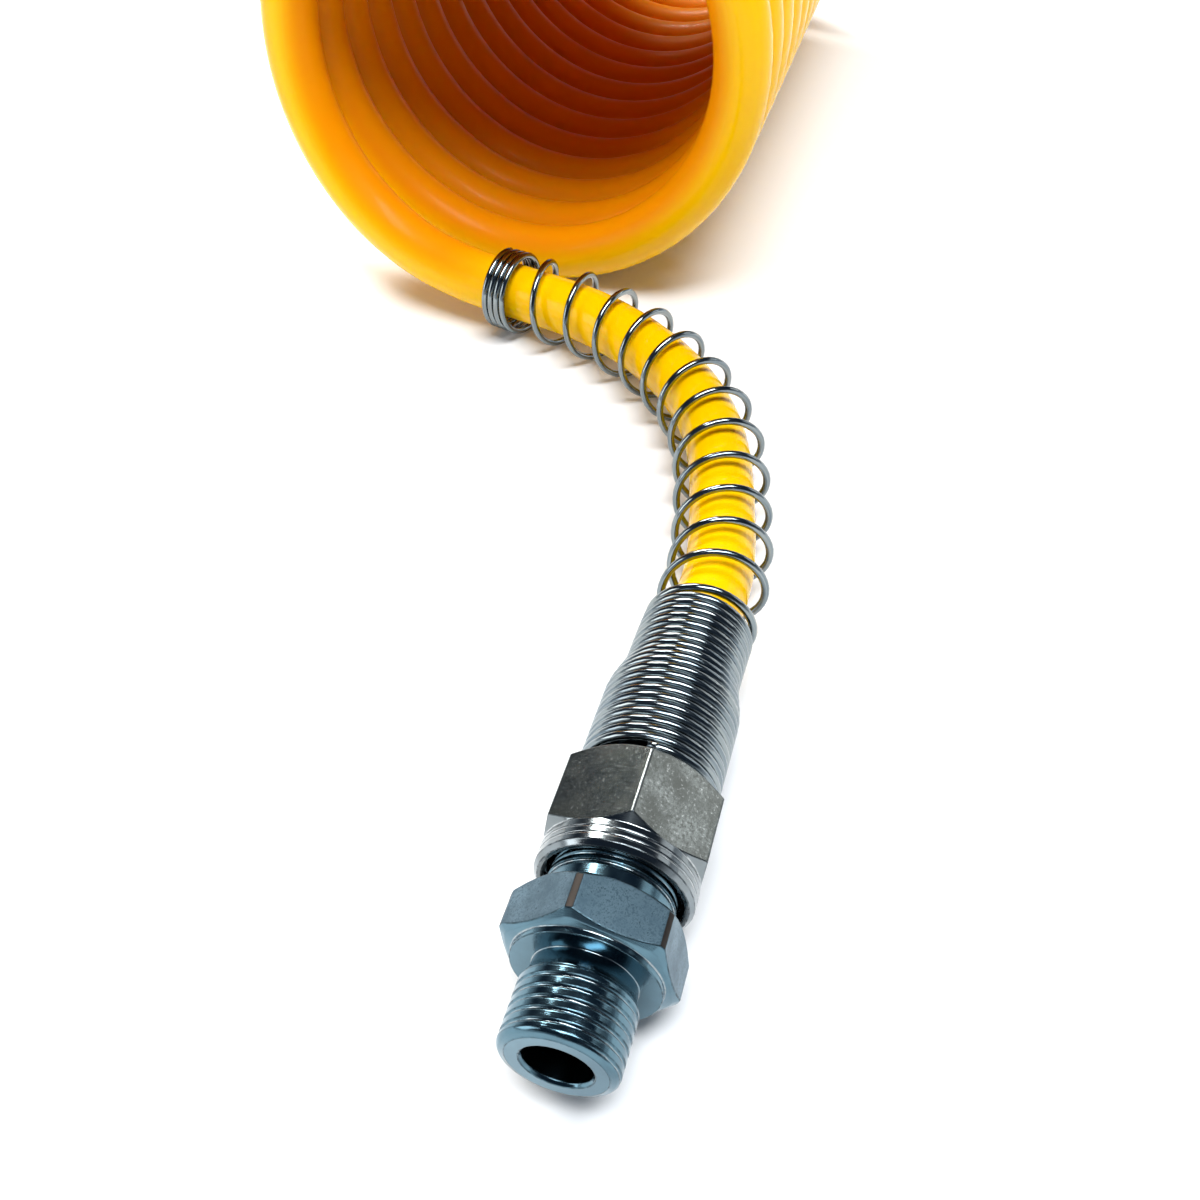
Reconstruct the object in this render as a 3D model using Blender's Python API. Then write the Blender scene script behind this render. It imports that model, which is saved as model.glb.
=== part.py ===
"""Coiled air hose assembly: a plastic tube wound into a coil, with a screwed union and a spring guard at each end.

Metres, +Z up. The coil lies on its side along Y, the object stands on z = 0, and the two ends are the same set of
pieces turned half a turn about Z: end A points to -Y on the +X side, end B to +Y on the -X side. Every piece of an end
is modelled along the axis of its union, where z is the distance from the tip of the connecting thread.
"""

import math

import bmesh
import bpy
from mathutils import Matrix, Vector
from mathutils.geometry import intersect_line_line

# Tube and coil
TUBE_DIAMETER = 0.012
TUBE_BORE = 0.009
COIL_MEAN_DIAMETER = 0.098
COIL_TURNS = 16
COIL_TURN_GAP = 0.0005
COIL_LEAVES_AT = math.radians(112.5)  # where the first turn leaves the helix for the tail, counted from the floor
COIL_STEPS = 16  # points a turn
TAIL_STEP = 0.009  # spacing of the tail's points

# Where the union lies beside the coil
UNION_OFFSET = 0.0685  # from the coil's axis, across
UNION_REACH = 0.1834  # from the coil's first turn to the tip of the connecting thread
FLOOR_CLEARANCE = 0.0001  # under the lowest corner of the hexagons, so that they can turn

# Clearances
FACE_GAP = 0.0003  # between two pieces that lie face to face
BORE_GAP = 0.0003  # around a piece in its bore
TUBE_GAP = 0.00035  # around the tube in the nut and in the clamping ring
THREAD_GAP = 0.0003  # around the rear thread in the nut
CONE_GAP = 0.00035  # between the clamping ring and the two cones
JOIN = 0.0003  # how far shapes that become one piece run into each other, and cutters past a face
LEAST_COIL_GAP = 0.0004

# Stud connector: distances from the tip of the connecting thread
THREAD_DIAMETER = 0.0159
THREAD_ROOT_DIAMETER = 0.0141
THREAD_PITCH = 0.0015
THREAD_TURNS = 6
THREAD_LEAD = 0.0009  # chamfer at the tip
STUD_BORE = 0.009
STUD_MOUTH_CHAMFER = 0.0005
SHOULDER_AT = 0.012
SHOULDER_DIAMETER = 0.0202
SHOULDER_THICKNESS = 0.0009
HEXAGON_ACROSS_FLATS = 0.022
HEXAGON_CHAMFER_SLOPE = 0.62  # axial run of a corner chamfer over its radial drop
STUD_HEXAGON_LENGTH = 0.0075
STUD_HEXAGON_TURN = math.radians(-11.9)  # of a corner, from straight up
REAR_DIAMETER = 0.0178
REAR_GROOVE_DIAMETER = 0.0168
REAR_GROOVE_WIDTH = 0.0010
REAR_GROOVE_AT = 0.0012  # behind the hexagon
REAR_LENGTH = 0.0140  # the part of the stud behind the hexagon
SOCKET_DEPTH = 0.0074
CONE_RISE = 0.0013  # radial depth of the cone that the clamping ring is pushed into
CONE_RUN = 0.0029

# Union nut
NUT_GAP = 0.0042  # visible length of stud between the two hexagons
NUT_SKIRT_DIAMETER = 0.0223
NUT_SKIRT_LENGTH = 0.0040
NUT_RIM_CHAMFER = 0.0007
NUT_HEXAGON_LENGTH = 0.0130
NUT_HEXAGON_TURN = math.radians(5.9)
NUT_BACK_DIAMETER = 0.0216
SPIGOT_DIAMETER = 0.0152
SPIGOT_LENGTH = 0.0159
NUT_CONE_SLOPE = 0.92  # radial over axial
NUT_TRAVEL = 0.009  # six turns of the rear thread: the tube lies straight behind the nut for as long

# Clamping ring and support sleeve
RING_WALL = 0.0019
RING_LAND = 0.0008
RING_NOSE = 0.0015  # length inside the stud's cone
RING_HEEL = 0.0003  # wall left at its rear edge
SLEEVE_BORE = 0.0072
SLEEVE_LENGTH = 0.0112
SLEEVE_FLANGE_THICKNESS = 0.0008

# Spring guard
WIRE_DIAMETER = 0.0014
GUARD_SEATED_DIAMETER = 0.0210  # outer, where it sits on the nut's spigot
GUARD_OPEN_DIAMETER = 0.0182
GUARD_END_DIAMETER = 0.0178
GUARD_TAPER = 0.0070
GUARD_CLOSE_LENGTH = 0.0333
GUARD_CLOSE_TURNS = 14
GUARD_OPEN_TURNS = 13
GUARD_END_TURNS = 2.5
GUARD_END_PITCH = 0.0026
GUARD_TO_COIL = 0.0020  # of tube left bare between the guard and the coil's node
GUARD_STEPS = 8  # points a turn

ROUND_STEPS = 24
SMALL_STEPS = 16

# The tube's way from the union to the coil, as (across, along, up) from the lowest point of the coil's first turn
ROUTE = (
    (0.0686, -0.1090, 0.0127),
    (0.0690, -0.1030, 0.0122),
    (0.0691, -0.0960, 0.0113),
    (0.0682, -0.0868, 0.0101),
    (0.0662, -0.0767, 0.0095),
    (0.0637, -0.0654, 0.0094),
    (0.0602, -0.0539, 0.0094),
    (0.0549, -0.0436, 0.0094),
    (0.0485, -0.0352, 0.0094),
    (0.0407, -0.0278, 0.0094),
    (0.0315, -0.0214, 0.0094),
    (0.0217, -0.0167, 0.0094),
)
COIL_END = (0.0058, -0.0125, 0.0095)  # where the coil's node meets the tail's
COIL_END_HEADING = (-0.974, 0.225, 0.035)
COIL_LEAD = (  # between that straight end and the helix
    (-0.0197, -0.0065, 0.0127),
    (-0.0322, -0.0034, 0.0199),
    (-0.0418, -0.0008, 0.0309),
    (-0.0476, 0.0014, 0.0445),
    (-0.0487, 0.0029, 0.0593),
)

COIL_PITCH = TUBE_DIAMETER + COIL_TURN_GAP
COIL_LENGTH = COIL_TURNS * COIL_PITCH
COIL_RADIUS = COIL_MEAN_DIAMETER / 2
COIL_AXIS_HEIGHT = COIL_RADIUS + TUBE_DIAMETER / 2
CORNER_RADIUS = HEXAGON_ACROSS_FLATS / math.sqrt(3)
UNION_HEIGHT = CORNER_RADIUS + FLOOR_CLEARANCE

STUD_HEXAGON_AT = SHOULDER_AT + SHOULDER_THICKNESS
STUD_HEXAGON_END = STUD_HEXAGON_AT + STUD_HEXAGON_LENGTH
STUD_END = STUD_HEXAGON_END + REAR_LENGTH
SOCKET_AT = STUD_END - SOCKET_DEPTH
SOCKET_DIAMETER = TUBE_DIAMETER + 2 * BORE_GAP
SLEEVE_AT = SOCKET_AT + FACE_GAP
TUBE_END = SLEEVE_AT + SLEEVE_FLANGE_THICKNESS + FACE_GAP

NUT_RIM = STUD_HEXAGON_END + NUT_GAP
NUT_HEXAGON_AT = NUT_RIM + NUT_SKIRT_LENGTH
NUT_BACK = NUT_HEXAGON_AT + NUT_HEXAGON_LENGTH
NUT_TUBE_BORE = TUBE_DIAMETER + 2 * TUBE_GAP
NUT_THREAD_BORE = REAR_DIAMETER + 2 * THREAD_GAP
NUT_SPIGOT_END = NUT_BACK + SPIGOT_LENGTH
RING_RADIUS = NUT_TUBE_BORE / 2 + RING_WALL
RING_LAND_AT = STUD_END + FACE_GAP
RING_LAND_END = RING_LAND_AT + RING_LAND
RING_END = RING_LAND_END + (RING_WALL - RING_HEEL) / NUT_CONE_SLOPE
NUT_CONE_AT = RING_LAND_END - (NUT_THREAD_BORE / 2 - RING_RADIUS - CONE_GAP) / NUT_CONE_SLOPE
NUT_CONE_END = NUT_CONE_AT + (NUT_THREAD_BORE - NUT_TUBE_BORE) / 2 / NUT_CONE_SLOPE
GUARD_START = NUT_BACK + FACE_GAP + WIRE_DIAMETER / 2

YELLOW = (0.95, 0.56, 0.01, 1.0)
ZINC = (0.52, 0.57, 0.60, 1.0)
DARK_ZINC = (0.36, 0.38, 0.36, 1.0)
BRIGHT_STEEL = (0.62, 0.64, 0.66, 1.0)
BRASS = (0.72, 0.52, 0.22, 1.0)


def material(name, colour, roughness, metallic):
    """One Principled material."""
    made = bpy.data.materials.new(name)
    made.use_nodes = True
    shader = made.node_tree.nodes["Principled BSDF"]
    shader.inputs["Base Color"].default_value = colour
    shader.inputs["Roughness"].default_value = roughness
    shader.inputs["Metallic"].default_value = metallic
    made.diffuse_color = colour
    return made


def link(name, data, look, parent=None):
    """Puts data into the scene as one named object."""
    made = bpy.data.objects.new(name, data)
    data.materials.append(look)
    made.parent = parent
    bpy.context.scene.collection.objects.link(made)
    return made


def rings_of(shape, profile, steps, turn):
    """Adds a ring of vertices to a bmesh for each (distance along z, radius) point of a profile."""
    rings = []
    for along, radius in profile:
        angles = [turn + 2 * math.pi * step / steps for step in range(steps)]
        rings.append([shape.verts.new((radius * math.cos(a), radius * math.sin(a), along)) for a in angles])
    return rings


def bridge(shape, near, far):
    """Joins two rings of a bmesh with faces."""
    for step in range(len(near)):
        after = (step + 1) % len(near)
        shape.faces.new((near[step], near[after], far[after], far[step]))


def turned(name, profile, steps=ROUND_STEPS, turn=0.0):
    """Mesh turned from a closed outline of (distance along z, radius) points."""
    shape = bmesh.new()
    rings = rings_of(shape, profile, steps, turn)
    for near, far in zip(rings, rings[1:] + rings[:1]):
        bridge(shape, near, far)
    return finished(name, shape)


def solid_turned(name, profile, steps=ROUND_STEPS, turn=0.0):
    """Mesh turned from an open outline of (distance, radius) points, closed by a flat cap at each end."""
    shape = bmesh.new()
    rings = rings_of(shape, profile, steps, turn)
    for near, far in zip(rings, rings[1:]):
        bridge(shape, near, far)
    shape.faces.new(rings[0])
    shape.faces.new(rings[-1])
    return finished(name, shape)


def finished(name, shape):
    """Turns a bmesh into a mesh that faces outwards and whose round faces are smooth."""
    bmesh.ops.recalc_face_normals(shape, faces=shape.faces)
    mesh = bpy.data.meshes.new(name)
    shape.to_mesh(mesh)
    shape.free()
    mesh.shade_smooth()
    mesh.set_sharp_from_angle(angle=math.radians(35.0))
    return mesh


def cutter(name, mesh, parent=None):
    """A hidden object that a Boolean uses."""
    made = bpy.data.objects.new(name, mesh)
    made.parent = parent
    made.hide_render = True
    made.display_type = "WIRE"
    bpy.context.scene.collection.objects.link(made)
    return made


def boolean(target, operation, tool):
    """Adds an exact Boolean to an object."""
    modifier = target.modifiers.new(f"{operation.lower()} {tool.name}", "BOOLEAN")
    modifier.operation = operation
    modifier.solver = "EXACT"
    modifier.object = tool


def chamfered_hexagon(name, start, end, front_radius, back_radius, turn, parent):
    """A hexagonal length whose corners are turned off at both ends, as a hidden cutter to be joined to a piece."""
    prism = solid_turned(f"{name} prism", ((start, CORNER_RADIUS), (end, CORNER_RADIUS)), steps=6, turn=turn)
    made = cutter(name, prism, parent)
    beyond = CORNER_RADIUS + BORE_GAP
    front_run = (beyond - front_radius) * HEXAGON_CHAMFER_SLOPE
    back_run = (beyond - back_radius) * HEXAGON_CHAMFER_SLOPE
    envelope = ((start, front_radius), (start + front_run, beyond), (end - back_run, beyond), (end, back_radius))
    boolean(made, "INTERSECT", cutter(f"{name} turning", solid_turned(f"{name} turning", envelope), parent))
    return made


def corner_up(turn):
    """Angle of a hexagon corner in a union's own frame, whose y axis points up."""
    return math.pi / 2 + turn


def connecting_thread():
    """Outline of the connecting thread: a crest and a root for each turn, then the smooth neck."""
    outline = [(0.0, THREAD_ROOT_DIAMETER / 2)]
    along = THREAD_LEAD
    for _ in range(THREAD_TURNS):
        outline.append((along, THREAD_DIAMETER / 2))
        outline.append((along + THREAD_PITCH / 2, THREAD_ROOT_DIAMETER / 2))
        along += THREAD_PITCH
    outline.append((SHOULDER_AT, THREAD_ROOT_DIAMETER / 2))
    return outline


def stud_connector(end, parent, look):
    """The connector with its two threads, its hexagon, its bore and the socket for the tube."""
    name = f"stud_connector_{end}"
    groove_at = STUD_HEXAGON_END + REAR_GROOVE_AT
    outline = connecting_thread() + [
        (SHOULDER_AT, SHOULDER_DIAMETER / 2),
        (STUD_HEXAGON_AT + JOIN, SHOULDER_DIAMETER / 2),
        (STUD_HEXAGON_AT + JOIN, REAR_DIAMETER / 2),
        (groove_at, REAR_DIAMETER / 2),
        (groove_at, REAR_GROOVE_DIAMETER / 2),
        (groove_at + REAR_GROOVE_WIDTH, REAR_GROOVE_DIAMETER / 2),
        (groove_at + REAR_GROOVE_WIDTH, REAR_DIAMETER / 2),
        (STUD_END, REAR_DIAMETER / 2),
    ]
    opening = [
        (-JOIN, STUD_BORE / 2 + STUD_MOUTH_CHAMFER + JOIN),
        (STUD_MOUTH_CHAMFER, STUD_BORE / 2),
        (SOCKET_AT, STUD_BORE / 2),
        (SOCKET_AT, SOCKET_DIAMETER / 2),
        (STUD_END - CONE_RUN, SOCKET_DIAMETER / 2),
        (STUD_END, cone_radius(STUD_END)),
        (STUD_END + JOIN, cone_radius(STUD_END)),
    ]
    made = link(name, solid_turned(name, outline), look, parent)
    hexagon = chamfered_hexagon(f"stud hexagon {end}", STUD_HEXAGON_AT, STUD_HEXAGON_END, SHOULDER_DIAMETER / 2,
                                NUT_BACK_DIAMETER / 2, corner_up(STUD_HEXAGON_TURN), parent)
    boolean(made, "UNION", hexagon)
    boolean(made, "DIFFERENCE", cutter(f"stud bore {end}", solid_turned(f"stud bore {end}", opening), parent))
    return made


def cone_radius(along):
    """Radius of the cone in the stud's mouth."""
    return SOCKET_DIAMETER / 2 + CONE_RISE * (along - STUD_END + CONE_RUN) / CONE_RUN


def union_nut(end, parent, look):
    """The nut with its turned skirt, its hexagon, the cone that presses the ring and the spigot for the guard."""
    name = f"union_nut_{end}"
    outline = [
        (NUT_RIM, NUT_SKIRT_DIAMETER / 2 - NUT_RIM_CHAMFER),
        (NUT_RIM + NUT_RIM_CHAMFER, NUT_SKIRT_DIAMETER / 2),
        (NUT_HEXAGON_AT + JOIN, NUT_SKIRT_DIAMETER / 2),
        (NUT_HEXAGON_AT + JOIN, SPIGOT_DIAMETER / 2),
        (NUT_SPIGOT_END, SPIGOT_DIAMETER / 2),
    ]
    opening = [
        (NUT_RIM - JOIN, NUT_THREAD_BORE / 2),
        (NUT_CONE_AT, NUT_THREAD_BORE / 2),
        (NUT_CONE_END, NUT_TUBE_BORE / 2),
        (NUT_SPIGOT_END + JOIN, NUT_TUBE_BORE / 2),
    ]
    made = link(name, solid_turned(name, outline), look, parent)
    hexagon = chamfered_hexagon(f"nut hexagon {end}", NUT_HEXAGON_AT, NUT_BACK, NUT_SKIRT_DIAMETER / 2,
                                NUT_BACK_DIAMETER / 2, corner_up(NUT_HEXAGON_TURN), parent)
    boolean(made, "UNION", hexagon)
    boolean(made, "DIFFERENCE", cutter(f"nut bore {end}", solid_turned(f"nut bore {end}", opening), parent))
    return made


def clamping_ring(end, parent, look):
    """The ring between the stud's cone and the nut's cone, which grips the tube."""
    name = f"clamping_ring_{end}"
    inner = NUT_TUBE_BORE / 2
    outline = [
        (STUD_END - RING_NOSE, inner),
        (STUD_END - RING_NOSE, cone_radius(STUD_END - RING_NOSE) - CONE_GAP),
        (STUD_END, cone_radius(STUD_END) - CONE_GAP),
        (RING_LAND_AT, cone_radius(STUD_END) - CONE_GAP),
        (RING_LAND_AT, RING_RADIUS),
        (RING_LAND_END, RING_RADIUS),
        (RING_END, inner + RING_HEEL),
        (RING_END, inner),
    ]
    return link(name, turned(name, outline, steps=SMALL_STEPS), look, parent)


def support_sleeve(end, parent, look):
    """The flanged sleeve inside the tube's end."""
    flange = TUBE_DIAMETER / 2
    shank = TUBE_BORE / 2 - BORE_GAP
    outline = [
        (SLEEVE_AT, SLEEVE_BORE / 2),
        (SLEEVE_AT, flange),
        (SLEEVE_AT + SLEEVE_FLANGE_THICKNESS, flange),
        (SLEEVE_AT + SLEEVE_FLANGE_THICKNESS, shank),
        (SLEEVE_AT + SLEEVE_LENGTH, shank),
        (SLEEVE_AT + SLEEVE_LENGTH, SLEEVE_BORE / 2),
    ]
    return link(f"support_sleeve_{end}", turned(f"support_sleeve_{end}", outline, steps=SMALL_STEPS), look, parent)


def smooth(points, step):
    """Points about step apart on the smooth curve through the given points."""
    padded = [2 * points[0] - points[1], *points, 2 * points[-1] - points[-2]]
    dense = [points[0]]
    for before, start, end, after in zip(padded, padded[1:], padded[2:], padded[3:]):
        knots = [0.0]
        for one, two in ((before, start), (start, end), (end, after)):
            knots.append(knots[-1] + math.sqrt((two - one).length))
        count = max(1, round((end - start).length / (step / 8)))
        for index in range(1, count + 1):
            at = knots[1] + (knots[2] - knots[1]) * index / count
            one = before.lerp(start, (at - knots[0]) / (knots[1] - knots[0]))
            two = start.lerp(end, (at - knots[1]) / (knots[2] - knots[1]))
            three = end.lerp(after, (at - knots[2]) / (knots[3] - knots[2]))
            left = one.lerp(two, (at - knots[0]) / (knots[2] - knots[0]))
            right = two.lerp(three, (at - knots[1]) / (knots[3] - knots[1]))
            dense.append(left.lerp(right, (at - knots[1]) / (knots[2] - knots[1])))
    return dense


def lengths_along(path):
    """Running length at each point of a path."""
    running = [0.0]
    for one, two in zip(path, path[1:]):
        running.append(running[-1] + (two - one).length)
    return running


def point_at(path, running, length):
    """Point at a running length, and the path's direction there."""
    index = next((i for i, value in enumerate(running[1:]) if value >= length), len(running) - 2)
    share = (length - running[index]) / (running[index + 1] - running[index])
    return path[index].lerp(path[index + 1], share), (path[index + 1] - path[index]).normalized()


def coil_point(angle):
    """Point of the coil's helix at an angle counted from the lowest point of the first turn."""
    along = COIL_PITCH * angle / (2 * math.pi) - COIL_LENGTH / 2
    return Vector((-COIL_RADIUS * math.sin(angle), along, COIL_AXIS_HEIGHT - COIL_RADIUS * math.cos(angle)))


def from_coil(point):
    """A point given from the coil's lowest first point, in the part's frame."""
    return Vector(point) + Vector((0.0, -COIL_LENGTH / 2, 0.0))


def union_frame():
    """Frame of end A's union: its z axis runs from the thread's tip to the tube, its y axis points up."""
    tip = Vector((UNION_OFFSET, -COIL_LENGTH / 2 - UNION_REACH, UNION_HEIGHT))
    return Matrix.Translation(tip) @ Matrix(((-1, 0, 0), (0, 0, 1), (0, 1, 0))).to_4x4()


def half_turn():
    """Turns end A into end B."""
    return Matrix.Rotation(math.pi, 4, "Z")


def tail_path():
    """The tube's smooth way from its end in the union to where the coil's node starts."""
    frame = union_frame()
    straight = [frame @ Vector((0.0, 0.0, along)) for along in
                (TUBE_END, NUT_BACK, NUT_SPIGOT_END, NUT_SPIGOT_END + NUT_TRAVEL)]
    heading = Vector(COIL_END_HEADING).normalized()
    last = from_coil(COIL_END) - heading * FACE_GAP
    square = [last - heading * GUARD_TO_COIL * share for share in (1.0, 0.5, 0.0)]
    return smooth([*straight, *(from_coil(point) for point in ROUTE), *square], TAIL_STEP)


def tail_points(path):
    """Points of the tube's solid: none are needed along its straight start, and its last stretch is straight too."""
    running = lengths_along(path)
    straight = NUT_SPIGOT_END - TUBE_END
    square = running[-1] - GUARD_TO_COIL / 2
    count = round((square - straight) / TAIL_STEP)
    marks = [0.0, *(straight + (square - straight) * index / count for index in range(count + 1)), running[-1]]
    return [point_at(path, running, mark)[0] for mark in marks]


def coil_points():
    """The helix, with a straight end of one tube diameter at each side that meets the tail's tube."""
    heading = Vector(COIL_END_HEADING).normalized()
    start = from_coil(COIL_END)
    lead = [start, start + heading * TUBE_DIAMETER, *(from_coil(point) for point in COIL_LEAD)]
    span = 2 * math.pi * COIL_TURNS - 2 * COIL_LEAVES_AT
    count = round(span / (2 * math.pi) * COIL_STEPS)
    turns = [coil_point(COIL_LEAVES_AT + span * index / count) for index in range(count + 1)]
    return [*lead, *turns, *(half_turn() @ point for point in reversed(lead))]


def guard_radius(along, last):
    """Radius of the wire's centre line at a distance from the thread's tip."""
    seated_end = NUT_SPIGOT_END
    share = min(max((along - seated_end) / GUARD_TAPER, 0.0), 1.0)
    outer = GUARD_SEATED_DIAMETER + (GUARD_OPEN_DIAMETER - GUARD_SEATED_DIAMETER) * share
    grip = min(max((along - last + GUARD_TAPER) / GUARD_TAPER, 0.0), 1.0)
    return (outer + (GUARD_END_DIAMETER - GUARD_OPEN_DIAMETER) * grip - WIRE_DIAMETER) / 2


def guard_points(path):
    """The spring's wire: close turns on the spigot, open turns round the bend and close turns on the tube."""
    running = lengths_along(path)
    start = GUARD_START - TUBE_END
    close_end = start + GUARD_CLOSE_LENGTH
    last = running[-1] - GUARD_TO_COIL
    open_end = last - GUARD_END_TURNS * GUARD_END_PITCH
    stretches = ((start, close_end, GUARD_CLOSE_TURNS), (close_end, open_end, GUARD_OPEN_TURNS),
                 (open_end, last, GUARD_END_TURNS))
    side = Vector((0.0, 0.0, 1.0))
    points = []
    angle = 0.0
    for begin, end, turns in stretches:
        count = round(turns * GUARD_STEPS)
        for index in range(1 if points else 0, count + 1):
            length = begin + (end - begin) * index / count
            centre, heading = point_at(path, running, length)
            side = (side - heading * side.dot(heading)).normalized()
            across = heading.cross(side)
            turn = angle + 2 * math.pi * turns * index / count
            reach = guard_radius(length + TUBE_END, last + TUBE_END)
            points.append(centre + (side * math.cos(turn) + across * math.sin(turn)) * reach)
        angle += 2 * math.pi * turns
    return points


def least_gap(points, diameter, skip):
    """Least free distance between a wound tube and itself, leaving out pieces nearer than skip points."""
    least = math.inf
    segments = list(zip(points, points[1:]))
    reach = max((end - start).length for start, end in segments) + 2 * diameter
    for index, (start, end) in enumerate(segments):
        for other_start, other_end in segments[index + skip:]:
            if (other_start - start).length > 2 * reach:
                continue
            crossing = intersect_line_line(start, end, other_start, other_end)
            pairs = [(start, other_start), (start, other_end), (end, other_start), (end, other_end)]
            pairs += [(point, on_segment(point, other_start, other_end)) for point in (start, end)]
            pairs += [(point, on_segment(point, start, end)) for point in (other_start, other_end)]
            if crossing:
                pairs.append((on_segment(crossing[0], start, end), on_segment(crossing[1], other_start, other_end)))
            least = min(least, *((one - two).length for one, two in pairs))
    return least - diameter


def on_segment(point, start, end):
    """The point of a segment that is nearest to a point."""
    along = end - start
    share = (point - start).dot(along) / along.length_squared
    return start + along * min(max(share, 0.0), 1.0)


def wound(name, points, diameter, resolution):
    """A capped round tube through the given points, as a curve."""
    curve = bpy.data.curves.new(name, "CURVE")
    curve.dimensions = "3D"
    curve.bevel_depth = diameter / 2
    curve.bevel_resolution = resolution
    curve.resolution_u = 1
    curve.render_resolution_u = 0
    curve.use_fill_caps = True
    spline = curve.splines.new("POLY")
    spline.points.add(len(points) - 1)
    for place, point in zip(spline.points, points):
        place.co = (*point, 1.0)
    return curve


def hose_tail(end, look, placing, points):
    """The tube between the union and the coil, with its bore where the support sleeve sits in it."""
    guide = bpy.data.objects.new(f"tail guide {end}", wound(f"tail guide {end}", points, TUBE_DIAMETER, 2))
    bpy.context.scene.collection.objects.link(guide)
    mesh = bpy.data.meshes.new_from_object(guide.evaluated_get(bpy.context.evaluated_depsgraph_get()))
    bpy.data.objects.remove(guide)
    mesh.materials.clear()
    made = link(f"hose_tail_{end}", mesh, look)
    made.matrix_world = placing
    depth = SLEEVE_AT + SLEEVE_LENGTH + FACE_GAP
    pocket = solid_turned(f"tube bore {end}", ((TUBE_END - FACE_GAP, TUBE_BORE / 2), (depth, TUBE_BORE / 2)),
                          steps=SMALL_STEPS)
    hole = cutter(f"tube bore {end}", pocket)
    hole.matrix_world = placing @ union_frame()
    boolean(made, "DIFFERENCE", hole)
    return made


def spring_guard(end, parent, look, points):
    """The wire spring that keeps the tube from kinking, in the frame of its union."""
    inverse = union_frame().inverted()
    local = [inverse @ point for point in points]
    return link(f"spring_guard_{end}", wound(f"spring_guard_{end}", local, WIRE_DIAMETER, 1), look, parent)


def report_gap(name, points, diameter, steps):
    """Prints a winding's least gap to itself and stops if it is too small."""
    gap = least_gap(points, diameter, steps // 2)
    print(f"{name}: least gap to itself {gap * 1000:.2f} mm")
    assert gap > LEAST_COIL_GAP, name


def build():
    """Models the whole assembly."""
    for old in list(bpy.data.objects):
        bpy.data.objects.remove(old, do_unlink=True)
    tube = material("yellow tube", YELLOW, 0.22, 0.0)
    zinc = material("blue zinc plate", ZINC, 0.28, 1.0)
    dark = material("dull zinc plate", DARK_ZINC, 0.38, 1.0)
    bright = material("bright spring wire", BRIGHT_STEEL, 0.18, 1.0)
    brass = material("brass", BRASS, 0.35, 1.0)

    turns = coil_points()
    report_gap("hose_coil", turns, TUBE_DIAMETER, COIL_STEPS)
    link("hose_coil", wound("hose_coil", turns, TUBE_DIAMETER, 1), tube)

    path = tail_path()
    wire = guard_points(path)
    report_gap("spring_guard", wire, WIRE_DIAMETER, GUARD_STEPS)
    for end, placing in (("a", Matrix.Identity(4)), ("b", half_turn())):
        axis = bpy.data.objects.new(f"union axis {end}", None)
        axis.matrix_world = placing @ union_frame()
        bpy.context.scene.collection.objects.link(axis)
        stud_connector(end, axis, zinc)
        union_nut(end, axis, dark)
        clamping_ring(end, axis, brass)
        support_sleeve(end, axis, brass)
        spring_guard(end, axis, bright, wire)
        hose_tail(end, tube, placing, tail_points(path))


build()
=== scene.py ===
"""Looks of the coiled air hose assembly: tube, unions and spring guards in detail, on a pale studio floor.

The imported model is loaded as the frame. Every piece is a surface worked out with numpy, in metres and in the
frame's own coordinates, and replaces the plainer solid that carries its name. The two ends are the same
pieces, end B turned half a turn about Z.
"""

from __future__ import annotations

import logging
import math
from dataclasses import dataclass, field
from enum import Enum

import bpy
import numpy as np
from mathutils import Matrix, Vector
from numpy.typing import NDArray

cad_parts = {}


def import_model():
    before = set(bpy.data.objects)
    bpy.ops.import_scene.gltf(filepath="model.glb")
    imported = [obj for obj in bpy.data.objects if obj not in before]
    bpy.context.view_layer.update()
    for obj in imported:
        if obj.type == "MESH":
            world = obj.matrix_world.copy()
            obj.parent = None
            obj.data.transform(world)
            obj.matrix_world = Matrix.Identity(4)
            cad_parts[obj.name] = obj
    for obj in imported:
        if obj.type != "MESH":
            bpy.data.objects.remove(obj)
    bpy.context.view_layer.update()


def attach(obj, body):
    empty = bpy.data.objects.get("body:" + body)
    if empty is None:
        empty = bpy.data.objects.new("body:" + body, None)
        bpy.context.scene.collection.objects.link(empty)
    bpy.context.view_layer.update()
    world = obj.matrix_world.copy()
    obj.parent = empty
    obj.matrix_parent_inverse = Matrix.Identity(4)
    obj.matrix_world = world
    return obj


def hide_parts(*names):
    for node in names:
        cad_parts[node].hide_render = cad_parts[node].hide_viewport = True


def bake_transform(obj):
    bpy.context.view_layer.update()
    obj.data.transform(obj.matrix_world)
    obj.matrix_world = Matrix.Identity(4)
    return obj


Array = NDArray[np.float64]
Colour = tuple[float, float, float]
Socket = bpy.types.NodeSocket
log = logging.getLogger("coiled hose")

MM = 0.001
TAU = 2.0 * math.pi
UP = np.array([0.0, 0.0, 1.0])

SHORTEST = 1e-12  # least length that a vector is divided by
LEAST_STEP = 1e-9  # added to each step of a grid before it divides, in metres
ROUNDING_STEPS = 4  # points on a rounded corner, less one
KEEPER = 1.2  # place of the point beside a rounded corner, in lengths of the rounding
EDGE_RADIUS = 0.2 * MM  # radius of an edge whose edge attribute is 1
ROUND_COLUMNS = 72  # columns of a round piece

# Places along a union's axis that more than one class reads, in millimetres from its thread's tip.
NUT_BACK = 41.6
SPIGOT_END = 57.5


class End(Enum):
    """The two ends of the hose, with the way each one's union points along Y."""

    A = 1.0
    B = -1.0

    @property
    def letter(self) -> str:
        """The end's letter in the names of pieces and bodies."""
        return self.name.lower()

    @property
    def turn(self) -> Array:
        """What a point of end A is multiplied by to come to this end."""
        return np.array([self.value, self.value, 1.0])


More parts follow.
